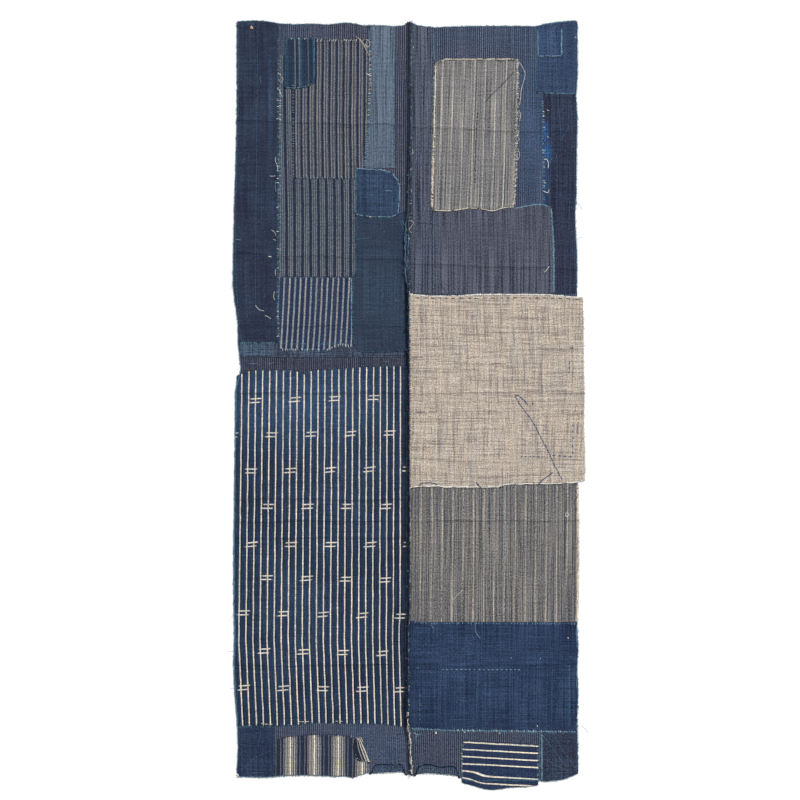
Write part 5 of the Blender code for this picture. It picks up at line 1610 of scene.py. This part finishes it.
SEAM_COLOURS = (
    "blue_thread", "blue_thread", "blue_thread", "dark_thread", "dark_thread", "teal_thread", "worn_blue_thread",
    "pale_blue_thread",
)

# Threads along the seam allowance: side, distance out from the wall, height, sway, how often they break and mean gap
SeamThread = namedtuple("SeamThread", "side out z start end sway radius colour breaks gap seed")

SEAM_THREADS = (
    SeamThread(1, 1.0, 8.9, -640, 764, 0.60, 0.36, "teal_thread", 0.60, 14.0, 51),
    SeamThread(1, 1.8, 8.2, -640, 764, 0.80, 0.42, "pale_blue_thread", 0.80, 24.0, 52),
    SeamThread(1, 2.6, 7.6, -600, 560, 0.80, 0.50, "white_thread", 0.94, 80.0, 61),
    SeamThread(1, 0.3, 9.2, -640, 764, 0.60, 0.28, "worn_blue_thread", 0.50, 8.0, 53),
    SeamThread(-1, 0.8, 9.0, 40, 380, 0.50, 0.30, "worn_blue_thread", 0.08, 4.0, 54),
    SeamThread(-1, 1.2, 8.4, 230, 372, 0.80, 0.34, "pale_blue_thread", 0.10, 4.0, 55),
    SeamThread(-1, 0.2, 8.9, 236, 368, 0.90, 0.30, "worn_blue_thread", 0.10, 4.0, 56),
    SeamThread(1, 1.0, 9.0, -736, -612, 0.50, 0.60, "cream_thread", 0.10, 4.0, 57),
    SeamThread(1, 0.2, 9.2, -736, -612, 0.60, 0.55, "white_thread", 0.18, 4.0, 58),
    SeamThread(-1, 0.6, 8.9, -736, -612, 0.60, 0.45, "cream_thread", 0.20, 4.0, 59),
    SeamThread(1, 2.2, 8.0, 650, 722, 0.30, 0.45, "teal_thread", 0.30, 5.0, 60),
)


def surface_tree(objects):
    """A tree of all the cloth's faces, to find its height."""
    points = []
    faces = []
    for obj in objects:
        base = len(points)
        points += [vertex.co.copy() for vertex in obj.data.vertices]
        faces += [[base + index for index in face.vertices] for face in obj.data.polygons]
    return BVHTree.FromPolygons(points, faces)


def thread_material(colour):
    """Twisted cotton thread."""
    material = bpy.data.materials.new(colour)
    material.use_nodes = True
    nodes = Nodes(material.node_tree)
    shader = material.node_tree.nodes["Principled BSDF"]
    place = nodes.add("ShaderNodeNewGeometry").outputs["Position"]
    uneven = nodes.noise(place, 260.0, 2.0)
    light = nodes.between(uneven, 0.3, 0.7, 0.75, 1.15)
    nodes.feed(shader.inputs["Base Color"], nodes.mix(1.0, dye(colour), nodes.vector(light, light, light), "MULTIPLY"))
    shader.inputs["Roughness"].default_value = 0.9
    shader.inputs["Specular IOR Level"].default_value = 0.15
    return material


def make_threads(colour, strands):
    """All the threads of one colour as thin tubes."""
    curve = bpy.data.curves.new(f"{colour}s", "CURVE")
    curve.dimensions = "3D"
    curve.bevel_depth = MM
    curve.bevel_resolution = 0
    curve.use_fill_caps = True
    for strand in strands:
        spline = curve.splines.new("POLY")
        spline.points.add(len(strand) - 1)
        for point, (x, y, z, radius) in zip(spline.points, strand):
            point.co = (x * MM, y * MM, z * MM, 1.0)
            point.radius = radius
    obj = bpy.data.objects.new(f"{colour}s", curve)
    bpy.context.scene.collection.objects.link(obj)
    deselect()
    obj.select_set(True)
    bpy.context.view_layer.objects.active = obj
    bpy.ops.object.convert(target="MESH")
    obj = bpy.context.object
    obj.data.shade_smooth()
    finish_piece(obj, thread_material(colour))


def make_flap(settings):
    """The turned-back corner of the bold striped patch."""
    columns = 12
    rows = 24
    across, down = np.meshgrid(np.linspace(0.0, 1.0, columns + 1), np.linspace(0.0, 1.0, rows + 1))
    corners = FLAP_CORNERS
    left_x = mix_arrays(corners[0][0], corners[3][0], down) - 5.5 * np.sin(math.pi * down)
    right_x = mix_arrays(corners[1][0], corners[2][0], down) + 1.0 * np.sin(math.pi * down)
    left_y = mix_arrays(corners[0][1], corners[3][1], down)
    right_y = mix_arrays(corners[1][1], corners[2][1], down)
    x = mix_arrays(left_x, right_x, across)
    y = mix_arrays(left_y, right_y, across) + 0.5 * ripple(x_noise(across, down), 0.0 * down, 6.0, 91)
    z = 2.5 + ground(-1, x, y) + 1.5 * np.sin(math.pi * across) ** 0.7 + 0.7 * (1.0 - down)
    obj = grid_object("bold_striped_corner", columns, rows)
    shape_grid(obj, x, y, z)
    write_uv(obj, "UVMap", (1.0 - across) * 17.0 * MM, down * 48.0 * MM)
    write_attribute(obj, "faded", 0.0 * x)
    write_attribute(obj, "raw_edge", 0.0 * x)
    write_attribute(obj, "crease", 50.0 * MM + 0.0 * x)
    # The turned-back corner drawn a little darker all over
    write_attribute(obj, "grime", 0.35 + 0.0 * x)
    write_attribute(obj, "rim", np.minimum(down, 1.0 - down) * 48.0 * MM)
    apply_thickness(obj, settings.patch_cloth)
    tidy_grid(obj)
    finish_piece(obj, cloth_material("bold_striped_corner"))


def x_noise(across, down):
    """A place for the small waves of the turned-back corner."""
    return across * 17.0 + down * 9.0


# Corners of the turned-back piece, in millimetres: top left, top right, bottom right, bottom left
FLAP_CORNERS = ((-109.0, -668.0), (-98.0, -666.0), (-79.0, -713.0), (-103.0, -711.0))


class BoroSizes(bpy.types.PropertyGroup):
    """Sizes and colours that a user may change."""

    panel_cloth: bpy.props.FloatProperty(
        name="Panel cloth", description="Thickness of the panels", default=PANEL_CLOTH * MM, unit="LENGTH")
    patch_cloth: bpy.props.FloatProperty(
        name="Patch cloth", description="Thickness of the patches", default=PATCH_CLOTH * MM, unit="LENGTH")
    panel_cell: bpy.props.FloatProperty(
        name="Panel cell", description="Size of the panels' mesh cells", default=0.0044, unit="LENGTH")
    patch_cell: bpy.props.FloatProperty(
        name="Patch cell", description="Size of the patches' mesh cells", default=0.0034, unit="LENGTH")
    seam_fray_gap: bpy.props.FloatProperty(
        name="Seam fray", description="Mean gap between the fibres of the seam", default=0.0010, unit="LENGTH")
    camera_height: bpy.props.FloatProperty(
        name="Camera height", description="Height of the camera over the cloth", default=3.778, unit="LENGTH")
    key_strength: bpy.props.FloatProperty(
        name="Key light", description="Strength of the light from the upper right", default=2.4, subtype="UNSIGNED")
    sky_strength: bpy.props.FloatProperty(
        name="Sky light", description="Strength of the soft light all round", default=0.50, subtype="FACTOR")
    linen: shade_property("linen", "Linen", "Ground colour of the linen patch")
    indigo: shade_property("indigo", "Indigo", "Ground colour of the faded indigo patch")
    dark_indigo: shade_property("dark_indigo", "Dark indigo", "Ground colour of the left edge strip")
    pale_blue: shade_property("pale_blue", "Pale blue", "Ground colour of the pale strip")
    kasuri_navy: shade_property("kasuri_navy", "Kasuri navy", "Ground colour of the kasuri patch")
    kasuri_cream: shade_property("kasuri_cream", "Kasuri cream", "Colour of the kasuri stripes and dashes")
    cream_bright: shade_property("cream_bright", "Cream lines", "Colour of the brightest woven lines")
    white_thread: shade_property("white_thread", "White thread", "Colour of the white sewing thread")


class BORO_OT_panels(bpy.types.Operator):
    """Weave the two base panels with the seam allowance between them"""

    bl_idname = "boro.panels"
    bl_label = "Base panels"

    def execute(self, context):
        for sheet in PANELS:
            finish_sheet(sheet, context.scene.boro_sizes)
        return {"FINISHED"}


class BORO_OT_patches(bpy.types.Operator):
    """Lay the patches on the panels"""

    bl_idname = "boro.patches"
    bl_label = "Patches"

    def execute(self, context):
        for sheet in PATCHES:
            finish_sheet(sheet, context.scene.boro_sizes)
        make_flap(context.scene.boro_sizes)
        return {"FINISHED"}


class BORO_OT_threads(bpy.types.Operator):
    """Sew the stitches and lay the loose and frayed threads"""

    bl_idname = "boro.threads"
    bl_label = "Threads"

    def execute(self, context):
        names = [f"{name}_cloth" for name in SHEETS] + ["bold_striped_corner"]
        missing = [name for name in names if name not in bpy.data.objects]
        if missing:
            self.report({"ERROR"}, f"Weave these first: {', '.join(missing)}")
            return {"CANCELLED"}
        sewing = Sewing([bpy.data.objects[name] for name in names])
        for row in TRIMS:
            sewing.trim(row)
        for row in WHIPS:
            sewing.whip(row)
        for row in RUNS:
            sewing.run(row)
        for row in LOOSE:
            sewing.loose(row)
        for row in FRAYS:
            sewing.fray(row)
        sewing.seam_fray(context.scene.boro_sizes)
        sewing.seam_lines()
        sewing.finish()
        return {"FINISHED"}


class BORO_OT_stage(bpy.types.Operator):
    """Set the pale floor, the soft light from the upper right and the camera straight above"""

    bl_idname = "boro.stage"
    bl_label = "Stage"

    def execute(self, context):
        sizes = context.scene.boro_sizes
        add_floor()
        add_lights(context.scene, sizes)
        add_camera(context.scene, sizes)
        return {"FINISHED"}


# The camera looks at this place on the cloth, in metres, through this lens, on a sensor this wide, in millimetres
AIM = (-0.018, 0.010)
LENS = 85.0
SENSOR = 36.0


def add_floor():
    """A plain white floor under the cloth."""
    deselect()
    bpy.ops.mesh.primitive_plane_add(size=14.0, location=(0.0, 0.0, -0.0004))
    floor = bpy.context.object
    floor.name = "floor"
    material = bpy.data.materials.new("floor_paper")
    material.use_nodes = True
    shader = material.node_tree.nodes["Principled BSDF"]
    shader.inputs["Base Color"].default_value = (0.92, 0.92, 0.92, 1.0)
    shader.inputs["Roughness"].default_value = 0.9
    shader.inputs["Emission Color"].default_value = (1.0, 1.0, 1.0, 1.0)
    shader.inputs["Emission Strength"].default_value = 0.16
    floor.data.materials.append(material)


def add_lights(scene, sizes):
    """A soft sun from the upper right and an even white sky."""
    deselect()
    bpy.ops.object.light_add(type="SUN", location=(2.0, 2.0, 3.0))
    key = bpy.context.object
    key.name = "key_light"
    key.data.energy = sizes.key_strength
    key.data.angle = math.radians(16.0)
    key.rotation_euler = (math.radians(48.0), 0.0, math.radians(148.0))
    world = bpy.data.worlds.new("soft_sky")
    scene.world = world
    world.use_nodes = True
    sky = world.node_tree.nodes["Background"]
    sky.inputs["Color"].default_value = (1.0, 1.0, 1.0, 1.0)
    sky.inputs["Strength"].default_value = sizes.sky_strength
    scene.view_settings.view_transform = "Standard"


def add_camera(scene, sizes):
    """A long lens straight above the cloth."""
    deselect()
    bpy.ops.object.camera_add(location=(AIM[0], AIM[1], sizes.camera_height), rotation=(0.0, 0.0, 0.0))
    camera = bpy.context.object
    camera.name = "camera"
    camera.data.lens = LENS
    camera.data.sensor_width = SENSOR
    camera.data.clip_end = 50.0
    scene.camera = camera


OPERATORS = (BORO_OT_panels, BORO_OT_patches, BORO_OT_threads, BORO_OT_stage)


class BORO_PT_sidebar(bpy.types.Panel):
    """Sizes and steps of the patched cloth"""

    bl_idname = "BORO_PT_sidebar"
    bl_label = "Boro patched cloth"
    bl_space_type = "VIEW_3D"
    bl_region_type = "UI"
    bl_category = "Boro cloth"

    def draw(self, context):
        column = self.layout.column()
        for name in BoroSizes.__annotations__:
            column.prop(context.scene.boro_sizes, name)
        for operator in OPERATORS:
            column.operator(operator.bl_idname)


CLASSES = (BoroSizes, *OPERATORS, BORO_PT_sidebar)


def register():
    """Add the classes and the cloth's settings."""
    for each in CLASSES:
        bpy.utils.register_class(each)
    bpy.types.Scene.boro_sizes = bpy.props.PointerProperty(type=BoroSizes)


def unregister():
    """Remove the classes and the cloth's settings."""
    del bpy.types.Scene.boro_sizes
    for each in reversed(CLASSES):
        bpy.utils.unregister_class(each)


def main():
    """Build the whole scene."""
    register()
    bpy.ops.boro.panels()
    bpy.ops.boro.patches()
    bpy.ops.boro.threads()
    bpy.ops.boro.stage()


if __name__ == "__main__":
    main()
